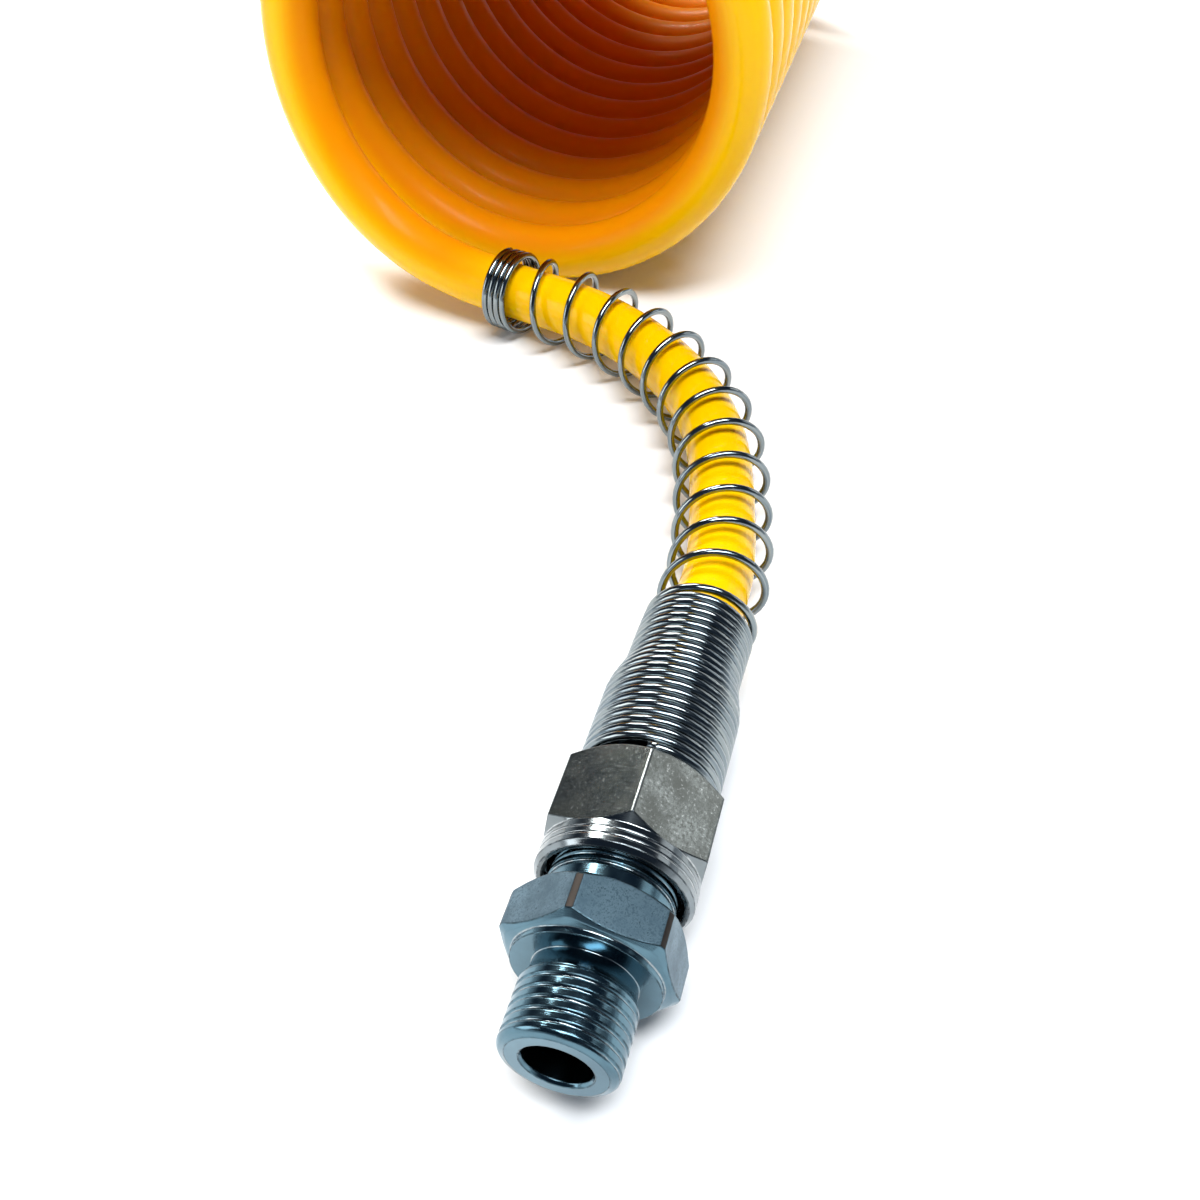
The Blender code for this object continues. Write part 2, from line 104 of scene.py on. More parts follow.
# -----------------------------------------------------------------------------------------------------------
# Surfaces
# -----------------------------------------------------------------------------------------------------------


def unit(vectors: Array) -> Array:
    """Vectors scaled to length one along the last axis.

    Args:
        vectors: Any array whose last axis holds components.

    Returns:
        The array of unit vectors.
    """
    return vectors / np.maximum(np.linalg.norm(vectors, axis=-1, keepdims=True), SHORTEST)


def smoothstep(value: Array | float, low: float, high: float) -> Array:
    """The curve 3t² − 2t³ of t, where t runs from 0 at low to 1 at high.

    Args:
        value: Where the curve is read.
        low: Value at which it leaves 0.
        high: Value at which it reaches 1.

    Returns:
        The curve's values.
    """
    t = np.clip((np.asarray(value, float) - low) / (high - low), 0.0, 1.0)
    return t * t * (3.0 - 2.0 * t)


def rounded(outline: Array, cut: float) -> Array:
    """Rounds every inner corner of an open outline.

    A corner P with A and B at the cut's distance on its two sides becomes the curve (1−t)²A + 2t(1−t)P + t²B,
    with one more point behind A and one behind B that keep the shading of the long stretches flat.

    Args:
        outline: Points by columns by (along, radius).
        cut: Distance from a corner at which the rounding starts, at most 0.4 of the shorter side.

    Returns:
        The same outline with more points.
    """
    corner = outline[1:-1]
    sides = [outline[:-2] - corner, outline[2:] - corner]
    shorter = np.minimum(*(np.linalg.norm(side, axis=-1) for side in sides))[..., None]
    reach = np.minimum(cut, 0.4 * shorter)
    start, end = (corner + unit(side) * reach for side in sides)
    keepers = [(corner + unit(side) * reach * KEEPER)[None] for side in sides]
    t = np.linspace(0.0, 1.0, ROUNDING_STEPS + 1)[:, None, None, None]
    curve = (1 - t) ** 2 * start + 2 * t * (1 - t) * corner + t**2 * end
    rows = np.concatenate([keepers[0], curve, keepers[1]]).swapaxes(0, 1)
    return np.concatenate([outline[:1], rows.reshape(-1, *outline.shape[1:]), outline[-1:]])


def outline_rows(points: list[tuple[float | Array, float | Array]], columns: int, cut: float) -> Array:
    """An open outline with the same number of columns everywhere and rounded corners.

    Args:
        points: (along, radius) pairs in millimetres, each a number or an array with one value a column.
        columns: Number of columns.
        cut: Where the rounding of a corner starts, in metres.

    Returns:
        Points by columns by (along, radius), in metres.
    """
    full = [[np.broadcast_to(np.asarray(value, float), columns) for value in pair] for pair in points]
    return rounded(np.array(full).transpose(0, 2, 1) * MM, cut)


def groove(start: float, end: float, radius: float, depth: float) -> list[tuple[float, float]]:
    """The four points of a groove whose sides slope over 0.1 mm, in millimetres.

    Args:
        start: Where it starts.
        end: Where it ends.
        radius: Radius beside it.
        depth: How deep it is.

    Returns:
        Four (along, radius) pairs.
    """
    slope = 0.1
    return [(start, radius), (start + slope, radius - depth), (end - slope, radius - depth), (end, radius)]


def ring_angles(count: int) -> Array:
    """Angles of evenly spaced points on a ring."""
    return TAU * np.arange(count) / count


def turned_points(radius: Array | float, angles: Array, along: Array) -> Array:
    """Points (r cos a, r sin a, along) of a piece in its own frame.

    Args:
        radius: One radius, or rows by columns.
        angles: Angle a of each column.
        along: Place along the axis, one a row and one column or rows by columns.

    Returns:
        Rows by columns by xyz.
    """
    return np.stack(np.broadcast_arrays(radius * np.cos(angles), radius * np.sin(angles), along), -1)


def curvature(grid: Array, loops: bool) -> Array:
    """How sharply a grid surface bends towards the side that rows × columns points to, in bends per metre.

    Along each of the grid's two directions the second difference quotient of position is taken, and its share
    along that normal counts.

    Args:
        grid: Rows by columns by xyz. Columns close into rings.
        loops: Whether the rows close into a loop too.

    Returns:
        Rows by columns.
    """
    total = np.zeros(grid.shape[:2])
    steps = []
    for axis in (0, 1):
        ahead, behind = np.roll(grid, -1, axis) - grid, grid - np.roll(grid, 1, axis)
        long_ahead = np.linalg.norm(ahead, axis=-1, keepdims=True) + LEAST_STEP
        long_behind = np.linalg.norm(behind, axis=-1, keepdims=True) + LEAST_STEP
        bend = (ahead / long_ahead - behind / long_behind) / ((long_ahead + long_behind) / 2)
        if axis == 0 and not loops:
            bend[[0, -1]] = 0.0
            ahead[-1], behind[0] = behind[-1], ahead[0]
        steps.append((ahead + behind, bend))
    normal = unit(np.cross(steps[0][0], steps[1][0]))
    for _, bend in steps:
        total += (bend * normal).sum(-1)
    return total


@dataclass
class Surface:
    """A grid surface on its way to becoming a piece.

    Attributes:
        grid: Rows by columns by xyz in the frame; columns close into rings.
        lay: The same points in the piece's own frame, which its finish reads.
        loops: Whether the rows close into a loop; otherwise both ends are capped.
        zone: What its finish reads to tell parts of it apart. On metal it is 1 on a drawn bar's skin, 0 where
            it is turned and −1 on the turned-off corners of a hexagon, and on the tube the share of winding.
    """

    grid: Array
    lay: Array
    loops: bool = True
    zone: Array | float = 0.0

    def faces(self) -> tuple[list[list[int]], float]:
        """Corner numbers of the quads and caps, pointing outwards.

        The enclosed volume is the sum of a·(b×c)/6 over the quads' halves. Where it is negative, the order of
        the corners is turned round.

        Returns:
            One list of corner numbers a face, and the sign of the volume.
        """
        rows, columns = self.grid.shape[:2]
        number = np.arange(rows * columns).reshape(rows, columns)
        near = number if self.loops else number[:-1]
        far = np.roll(number, -1, 0) if self.loops else number[1:]
        quads = np.stack([near, np.roll(near, -1, 1), np.roll(far, -1, 1), far], -1).reshape(-1, 4)
        corners = (self.grid - self.grid.reshape(-1, 3).mean(0)).reshape(-1, 3)[quads]
        first, second, third, fourth = corners.swapaxes(0, 1)
        volume = (first * np.cross(second, third)).sum() + (first * np.cross(third, fourth)).sum()
        sign = 1.0 if volume > 0 else -1.0
        caps = [] if self.loops else [number[0][::-1].tolist(), number[-1].tolist()]
        order = slice(None, None, int(sign))
        return quads[:, order].tolist() + [cap[order] for cap in caps], sign

    def piece(self, name: str, material: bpy.types.Material) -> bpy.types.Object:
        """Makes the mesh object, shaded smooth, with its lay, edge and zone attributes.

        Args:
            name: The piece's name.
            material: Its finish.

        Returns:
            The object, at the origin.
        """
        faces, sign = self.faces()
        mesh = bpy.data.meshes.new(name)
        mesh.from_pydata(self.grid.reshape(-1, 3).tolist(), [], faces)
        lay = mesh.attributes.new("lay", "FLOAT_VECTOR", "POINT")
        lay.data.foreach_set("vector", self.lay.astype(np.float32).ravel())
        bend = np.clip(-sign * curvature(self.grid, self.loops) * EDGE_RADIUS, -1.0, 1.0)
        for label, values in (("edge", bend), ("zone", np.broadcast_to(self.zone, bend.shape))):
            attribute = mesh.attributes.new(label, "FLOAT", "POINT")
            attribute.data.foreach_set("value", values.astype(np.float32).ravel())
        mesh.shade_smooth()
        mesh.materials.append(material)
        made = bpy.data.objects.new(name, mesh)
        bpy.context.scene.collection.objects.link(made)
        log.info("%s: %d faces", name, len(faces))
        return made


def carried(path: Array, reference: Array, ring: Array, radius: float | Array) -> Array:
    """A round section carried along a path.

    At each point of the path the section lies in the plane across its direction: point = centre + radius ·
    (cos a · up + sin a · side), where up is the reference with its share along the path taken out and side =
    direction × up.

    Args:
        path: Centre line, points by xyz.
        reference: Vector near up, points by xyz.
        ring: Angles a of the section.
        radius: One radius, or one a point and angle.

    Returns:
        Points by angles by xyz.
    """
    direction = unit(np.gradient(path, axis=0))
    up = unit(reference - direction * (reference * direction).sum(-1, keepdims=True))
    side = np.cross(direction, up)
    reach = np.broadcast_to(radius, (len(path), len(ring)))[..., None]
    turn = np.cos(ring)[:, None] * up[:, None] + np.sin(ring)[:, None] * side[:, None]
    return path[:, None] + reach * turn


def running_length(path: Array) -> Array:
    """Length along a path at each of its points, as the running sum of the steps between them."""
    return np.concatenate([[0.0], np.cumsum(np.linalg.norm(np.diff(path, axis=0), axis=1))])


def at_lengths(path: Array, lengths: Array) -> Array:
    """Points of a path at the given running lengths, by straight interpolation of each coordinate.

    Args:
        path: Points by xyz.
        lengths: Running lengths.

    Returns:
        Lengths by xyz.
    """
    running = running_length(path)
    return np.stack([np.interp(lengths, running, path[:, axis]) for axis in range(3)], -1)


def nearest(path: Array, place: Array) -> int:
    """Number of the path's point that lies nearest to a place."""
    return int(np.argmin(np.linalg.norm(path - place, axis=1)))


def smooth_curve(points: Array, step: float) -> Array:
    """The centripetal Catmull-Rom curve through the points, as lerps over knots spaced by √distance.

    Args:
        points: Points by xyz.
        step: Spacing of the curve's points.

    Returns:
        Points of the curve by xyz.
    """
    ends = np.concatenate([[2 * points[0] - points[1]], points, [2 * points[-1] - points[-2]]])
    pieces = [points[:1]]
    for a, b, c, d in zip(ends, ends[1:], ends[2:], ends[3:]):
        k1, k2, k3 = np.cumsum([math.sqrt(np.linalg.norm(q - p)) for p, q in ((a, b), (b, c), (c, d))])
        t = np.linspace(k1, k2, max(2, round(np.linalg.norm(c - b) / step)) + 1)[1:, None]
        ab = a + (b - a) * t / k1
        bc = b + (c - b) * (t - k1) / (k2 - k1)
        cd = c + (d - c) * (t - k2) / (k3 - k2)
        low, high = ab + (bc - ab) * t / k2, bc + (cd - bc) * (t - k1) / (k3 - k1)
        pieces.append(low + (high - low) * (t - k1) / (k2 - k1))
    return np.concatenate(pieces)


# -----------------------------------------------------------------------------------------------------------
# Shader work
# -----------------------------------------------------------------------------------------------------------


class Bench:
    """Adds nodes to one shader tree and links them."""

    def __init__(self, tree: bpy.types.NodeTree) -> None:
        """Keeps the tree."""
        self.tree = tree

    def add(
        self, kind: str, inputs: dict[int | str, object] | None = None, **settings: object
    ) -> bpy.types.Node:
        """Adds one node.

        Args:
            kind: Blender's name of the node type, without ShaderNode.
            inputs: Socket name or number to a value, or to another node's output, which is linked.
            settings: The node's own properties.

        Returns:
            The node.
        """
        node = self.tree.nodes.new(f"ShaderNode{kind}")
        for name, value in settings.items():
            setattr(node, name, value)
        for key, value in (inputs or {}).items():
            if isinstance(value, Socket):
                self.tree.links.new(value, node.inputs[key])
            else:
                node.inputs[key].default_value = value
        return node

    def attribute(self, name: str, output: str = "Fac") -> Socket:
        """What one of the piece's own attributes holds."""
        return self.add("Attribute", attribute_name=name).outputs[output]

    def value(self, operation: str, *values: float | Socket) -> Socket:
        """One Math node's output."""
        return self.add("Math", dict(enumerate(values)), operation=operation).outputs[0]

    def total(self, first: Socket, *others: Socket) -> Socket:
        """The sum of several values."""
        for other in others:
            first = self.value("ADD", first, other)
        return first

    def product(self, one: Socket, other: float | Socket) -> Socket:
        """One value times another."""
        return self.value("MULTIPLY", one, other)

    def vector(self, operation: str, *values: tuple | Socket) -> Socket:
        """One Vector Math node's output: its value for LENGTH, its vector otherwise."""
        node = self.add("VectorMath", dict(enumerate(values)), operation=operation)
        return node.outputs["Value" if operation == "LENGTH" else "Vector"]

    def span(self, value: Socket, low: float, high: float, to: tuple[float, float] = (0.0, 1.0)) -> Socket:
        """Maps low..high smoothly onto another range.

        Args:
            value: The value to map.
            low: Where the map starts.
            high: Where it ends.
            to: The values at its start and end.

        Returns:
            The mapped value.
        """
        inputs = {"Value": value, "From Min": low, "From Max": high, "To Min": to[0], "To Max": to[1]}
        return self.add("MapRange", inputs, interpolation_type="SMOOTHSTEP").outputs[0]

    def noise(
        self, vector: Socket, scale: float | Socket, detail: float = 3.0, roughness: float = 0.5
    ) -> Socket:
        """The value of a noise texture."""
        inputs = {"Vector": vector, "Scale": scale, "Detail": detail, "Roughness": roughness}
        return self.add("TexNoise", inputs).outputs[0]

    def mix(self, share: float | Socket, one: Colour | Socket, other: Colour | Socket) -> Socket:
        """A mix of two colours.

        Args:
            share: How much of the other colour is taken.
            one: A colour or a socket.
            other: A colour or a socket.

        Returns:
            The mixed colour.
        """
        one, other = ((*colour, 1.0) if isinstance(colour, tuple) else colour for colour in (one, other))
        return self.add("Mix", {0: share, 6: one, 7: other}, data_type="RGBA").outputs[2]

    def bump(self, height: Socket, strength: float, distance: float) -> Socket:
        """The normal of a surface with a relief."""
        return self.add("Bump", {"Height": height, "Strength": strength, "Distance": distance}).outputs[0]

    def feed(self, node: bpy.types.Node, inputs: dict[str, Socket]) -> None:
        """Links values to the sockets of a node that is there already."""
        for name, value in inputs.items():
            self.tree.links.new(value, node.inputs[name])


class Group:
    """A shader effect with named inputs and outputs that several finishes place."""

    def __init__(self, name: str, inputs: dict[str, str], outputs: dict[str, str]) -> None:
        """Makes the empty group.

        Args:
            name: The group's name.
            inputs: Socket name to Float, Vector or Color.
            outputs: The same for what it gives.
        """
        self.tree = bpy.data.node_groups.new(name, "ShaderNodeTree")
        for names, side in ((inputs, "INPUT"), (outputs, "OUTPUT")):
            for socket, kind in names.items():
                self.tree.interface.new_socket(socket, in_out=side, socket_type=f"NodeSocket{kind}")
        self.bench = Bench(self.tree)
        self.given = self.tree.nodes.new("NodeGroupInput").outputs
        self.result = self.tree.nodes.new("NodeGroupOutput").inputs

    def give(self, name: str, value: Socket) -> None:
        """Links a value to one of the group's outputs."""
        self.tree.links.new(value, self.result[name])

    def place(self, bench: Bench, inputs: dict[int | str, object]) -> bpy.types.NodeOutputs:
        """Places the group in a material and gives its outputs."""
        return bench.add("Group", inputs, node_tree=self.tree).outputs


class Effects:
    """The shader effects that the finishes share."""

    def __init__(self) -> None:
        """Builds each group once."""
        self.mottle = self.mottle_group()
        self.turning = self.turning_group()
        self.wear_and_painted_light = self.wear_and_painted_light_group()
        self.streaks = self.streaks_group()

    @staticmethod
    def mottle_group() -> Group:
        """Soft clouds with fine specks in them, as on plated steel.

        Returns:
            A group that takes Lay, Scale, Base, Shade and Speck and gives Colour, Cloud and Pits.
        """
        takes = {"Lay": "Vector", "Scale": "Float", "Base": "Color", "Shade": "Color", "Speck": "Color"}
        group = Group("cloudy plating", takes, {"Colour": "Color", "Cloud": "Float", "Pits": "Float"})
        bench, given = group.bench, group.given
        cloud = bench.span(bench.noise(given["Lay"], given["Scale"], 4.0, 0.6), 0.25, 0.75)
        specks_a_cloud = 9.0
        grain = bench.noise(given["Lay"], bench.product(given["Scale"], specks_a_cloud), 3.0, 0.75)
        pits = bench.span(grain, 0.58, 0.68)
        colour = bench.mix(cloud, given["Base"], given["Shade"])
        colour = bench.mix(bench.span(grain, 0.52, 0.38, (0.0, 0.9)), colour, given["Shade"])
        group.give("Colour", bench.mix(pits, colour, given["Speck"]))
        group.give("Cloud", cloud)
        group.give("Pits", pits)
        return group

    @staticmethod
    def turning_group() -> Group:
        """The fine rings that a turning tool leaves, as a height that depends on radius and length.

        Returns:
            A group that takes Lay and Lines and gives Height.
        """
        group = Group("turning marks", {"Lay": "Vector", "Lines": "Float"}, {"Height": "Float"})
        bench, given = group.bench, group.given
        apart = bench.add("SeparateXYZ", {0: given["Lay"]}).outputs
        flat = bench.add("CombineXYZ", {0: apart[0], 1: apart[1]}).outputs[0]
        place = bench.value("ADD", bench.vector("LENGTH", flat), apart[2])
        inputs = {"W": bench.product(place, given["Lines"]), "Scale": 1.0, "Detail": 2.0}
        rings = bench.add("TexNoise", inputs, noise_dimensions="1D").outputs[0]
        group.give("Height", rings)
        return group

    @staticmethod
    def wear_and_painted_light_group() -> Group:
        """Lighter edges and darker grooves: rubbed wear with a painted highlight, and soiling with painted
        shade.

        Returns:
            A group that takes Edge and Lay and gives Bright and Grime.
        """
        takes = {"Edge": "Float", "Lay": "Vector"}
        group = Group("rubbed edges", takes, {"Bright": "Float", "Grime": "Float"})
        bench, given = group.bench, group.given
        patches_a_metre = 900.0
        patchy = bench.span(bench.noise(given["Lay"], patches_a_metre, 4.0, 0.6), 0.35, 0.65, (0.25, 1.0))
        # Lighter on convex edges: rubbed wear and a painted highlight.
        group.give("Bright", bench.product(bench.span(given["Edge"], 0.12, 0.75), patchy))
        # Darker in grooves and inner corners: soiling and painted shade.
        sunk = bench.product(given["Edge"], -1.0)
        group.give("Grime", bench.product(bench.span(sunk, 0.08, 0.7), patchy))
        return group

    @staticmethod
    def streaks_group() -> Group:
        """Faint lines that run the length of a drawn or extruded piece.

        Returns:
            A group that takes Lay, Across and Lengthways and gives Streak and Smudge.
        """
        takes = {"Lay": "Vector", "Across": "Float", "Lengthways": "Float"}
        group = Group("drawn streaks", takes, {"Streak": "Float", "Smudge": "Float"})
        bench, given = group.bench, group.given
        scales = {0: given["Across"], 1: given["Across"], 2: given["Lengthways"]}
        drawn = bench.vector("MULTIPLY", given["Lay"], bench.add("CombineXYZ", scales).outputs[0])
        group.give("Streak", bench.noise(drawn, 1.0, 4.0, 0.6))
        smudges_a_metre = 55.0
        group.give("Smudge", bench.span(bench.noise(given["Lay"], smudges_a_metre, 4.0, 0.6), 0.4, 0.7))
        return group


def blank_material(
    name: str, shader_values: dict[str, object]
) -> tuple[bpy.types.Material, Bench, bpy.types.Node]:
    """A material with one Principled BSDF.

    Args:
        name: The material's name.
        shader_values: Values that are the same all over, set on the shader's own sockets.

    Returns:
        The material, the bench of its tree and its shader.
    """
    made = bpy.data.materials.new(name)
    made.use_nodes = True
    shader = made.node_tree.nodes["Principled BSDF"]
    for socket, value in shader_values.items():
        shader.inputs[socket].default_value = value
    return made, Bench(made.node_tree), shader


@dataclass(frozen=True)
class TubePlastic:
    """Glossy, slightly milky extruded plastic.

    Attributes:
        colour: Its own colour.
        deep: The same colour where the wall is a little thicker.
        inside: Painted shade and light through the walls: a deeper orange where the turns face the coil's
            axis.
        gloss: Roughness of its skin outside and inside the coil.
        mirror: Specular level outside and inside the coil.
        coat: Weight of its coat where it is clean and where it is smudged.
        coat_inside: Share of that weight inside the coil.
        inner_from: Height in the section, towards the coil's axis, at which the inner side starts.
        inner_to: Height at which it is complete.
    """

    colour: Colour = (0.90, 0.52, 0.0)
    deep: Colour = (0.86, 0.45, 0.0)
    inside: Colour = (0.77, 0.255, 0.0)
    gloss: tuple[float, float] = (0.14, 0.40)
    mirror: tuple[float, float] = (0.18, 0.08)
    coat: tuple[float, float] = (0.2, 0.06)
    coat_inside: float = 0.25
    inner_from: float = -1.0 * MM
    inner_to: float = 4.5 * MM

    def material(self, effects: Effects) -> bpy.types.Material:
        """Builds the material: faint drawn streaks in colour and relief, smudges in the gloss, and painted
        inner shade.
        """
        made, bench, shader = blank_material("tube plastic", {
            "IOR": 1.38, "Subsurface Weight": 0.22, "Subsurface Radius": (1.0, 0.30, 0.02),
            "Subsurface Scale": 4.0 * MM, "Coat Roughness": 0.05, "Coat IOR": 1.4})
        lay = bench.attribute("lay", "Vector")
        marks = effects.streaks.place(bench, {"Lay": lay, "Across": 900.0, "Lengthways": 9.0})
        smudge = marks["Smudge"]
        height = bench.add("SeparateXYZ", {0: lay}).outputs[0]
        inner = bench.product(bench.span(height, self.inner_from, self.inner_to), bench.attribute("zone"))
        skin = bench.mix(marks["Streak"], self.colour, self.deep)
        coat = bench.product(bench.span(smudge, 0.0, 1.0, self.coat),
                             bench.span(inner, 0.0, 1.0, (1.0, self.coat_inside)))
        dulled = bench.span(smudge, 0.0, 1.0, (0.0, 0.10))
        # Painted shade and painted light through the walls: the side of the turns facing the coil's axis takes
        # the inside colour.
        bench.feed(shader, {
            "Base Color": bench.mix(inner, skin, self.inside),
            "Roughness": bench.total(dulled, bench.span(inner, 0.0, 0.6, self.gloss)),
            "Specular IOR Level": bench.span(inner, 0.0, 0.6, self.mirror),
            "Coat Weight": coat,
            "Normal": bench.bump(marks["Streak"], 0.12, 0.04 * MM)})
        return made


@dataclass(frozen=True)
class ZincPlate:
    """Plated metal: matt and speckled where it is drawn bar, glossier with fine rings where it is turned.

    Attributes:
        name: Name of the material.
        base: Reflectance of the clean plate.
        shade: Reflectance of its clouds.
        speck: Reflectance of its specks.
        bright: Reflectance on its edges, for rubbed wear and a painted highlight.
        corner: Reflectance of a hexagon's turned-off corners.
        turned: Reflectance where it is turned.
        drawn_rough: Roughness of the drawn skin.
        turned_rough: Roughness of the turned faces.
        cloud_size: Clouds a metre.
        relief: Depth of the turning marks and pits, in metres.
        lines: Turning marks a metre.
        grime: Reflectance in its grooves and inner corners, for soiling and painted shade.
    """

    name: str
    base: Colour
    shade: Colour
    speck: Colour
    bright: Colour
    corner: Colour
    turned: Colour
    drawn_rough: float
    turned_rough: float
    cloud_size: float
    relief: float
    lines: float = 9000.0
    grime: Colour = (0.02, 0.03, 0.035)

    def material(self, effects: Effects) -> bpy.types.Material:
        """Builds it from speckled plating, turning marks, edge wear with painted highlight, soiling with
        painted shade.
        """
        made, bench, shader = blank_material(self.name, {"Metallic": 1.0})
        lay, zone = bench.attribute("lay", "Vector"), bench.attribute("zone")
        tints = {"Base": (*self.base, 1.0), "Shade": (*self.shade, 1.0), "Speck": (*self.speck, 1.0)}
        plate = effects.mottle.place(bench, {"Lay": lay, "Scale": self.cloud_size, **tints})
        wear_and_light = effects.wear_and_painted_light.place(bench, {"Edge": bench.attribute("edge"), "Lay": lay})
        rings = effects.turning.place(bench, {"Lay": lay, "Lines": self.lines})
        cloud = plate["Cloud"]
        skin, corner = bench.span(zone, 0.3, 0.7), bench.span(zone, -0.2, -0.6)
        smooth = bench.mix(bench.span(cloud, 0.0, 1.0, (0.0, 0.35)), self.turned, self.shade)
        # Painted highlight and rubbed wear: convex edges take a lighter reflectance.
        colour = bench.mix(wear_and_light["Bright"], bench.mix(skin, smooth, plate["Colour"]), self.bright)
        colour = bench.mix(corner, colour, self.corner)
        # Painted shade and soiling: grooves and inner corners take the dark reflectance below.
        grime_and_shade_share = bench.product(wear_and_light["Grime"], 0.75)
        clouded = bench.span(cloud, 0.0, 1.0, (-0.03, 0.03))
        plain_rough = bench.span(skin, 0.0, 1.0, (self.turned_rough, self.drawn_rough))
        rough = bench.total(plain_rough, clouded, bench.product(corner, 0.35), bench.product(grime_and_shade_share, 0.3))
        marks = bench.product(rings["Height"], bench.value("SUBTRACT", 1.0, skin))
        sunk = bench.product(plate["Pits"], bench.span(skin, 0.0, 1.0, (0.1, 0.7)))
        bench.feed(shader, {
            "Base Color": bench.mix(grime_and_shade_share, colour, self.grime),
            "Roughness": rough,
            "Normal": bench.bump(bench.value("SUBTRACT", marks, sunk), 0.5, self.relief)})
        return made


@dataclass(frozen=True)
class SpringWire:
    """Bright plated spring wire with long drawn lines.

    Attributes:
        base: Reflectance of the wire.
        shade: Reflectance of its duller lines.
        gloss: Roughness between the lines and on them.
    """

    base: Colour = (0.27, 0.30, 0.30)
    shade: Colour = (0.13, 0.17, 0.20)
    gloss: tuple[float, float] = (0.09, 0.17)

    def material(self, effects: Effects) -> bpy.types.Material:
        """Builds the material from drawn streaks along the wire."""
        made, bench, shader = blank_material("spring wire", {"Metallic": 1.0})
        lay = bench.attribute("lay", "Vector")
        marks = effects.streaks.place(bench, {"Lay": lay, "Across": 3500.0, "Lengthways": 60.0})
        line = bench.span(marks["Streak"], 0.35, 0.7)
        dulled = bench.product(marks["Smudge"], 0.08)
        bench.feed(shader, {
            "Base Color": bench.mix(line, self.base, self.shade),
            "Roughness": bench.total(bench.span(line, 0.0, 1.0, self.gloss), dulled),
            "Normal": bench.bump(marks["Streak"], 0.25, 0.02 * MM)})
        return made


# -----------------------------------------------------------------------------------------------------------
# The tube
# -----------------------------------------------------------------------------------------------------------


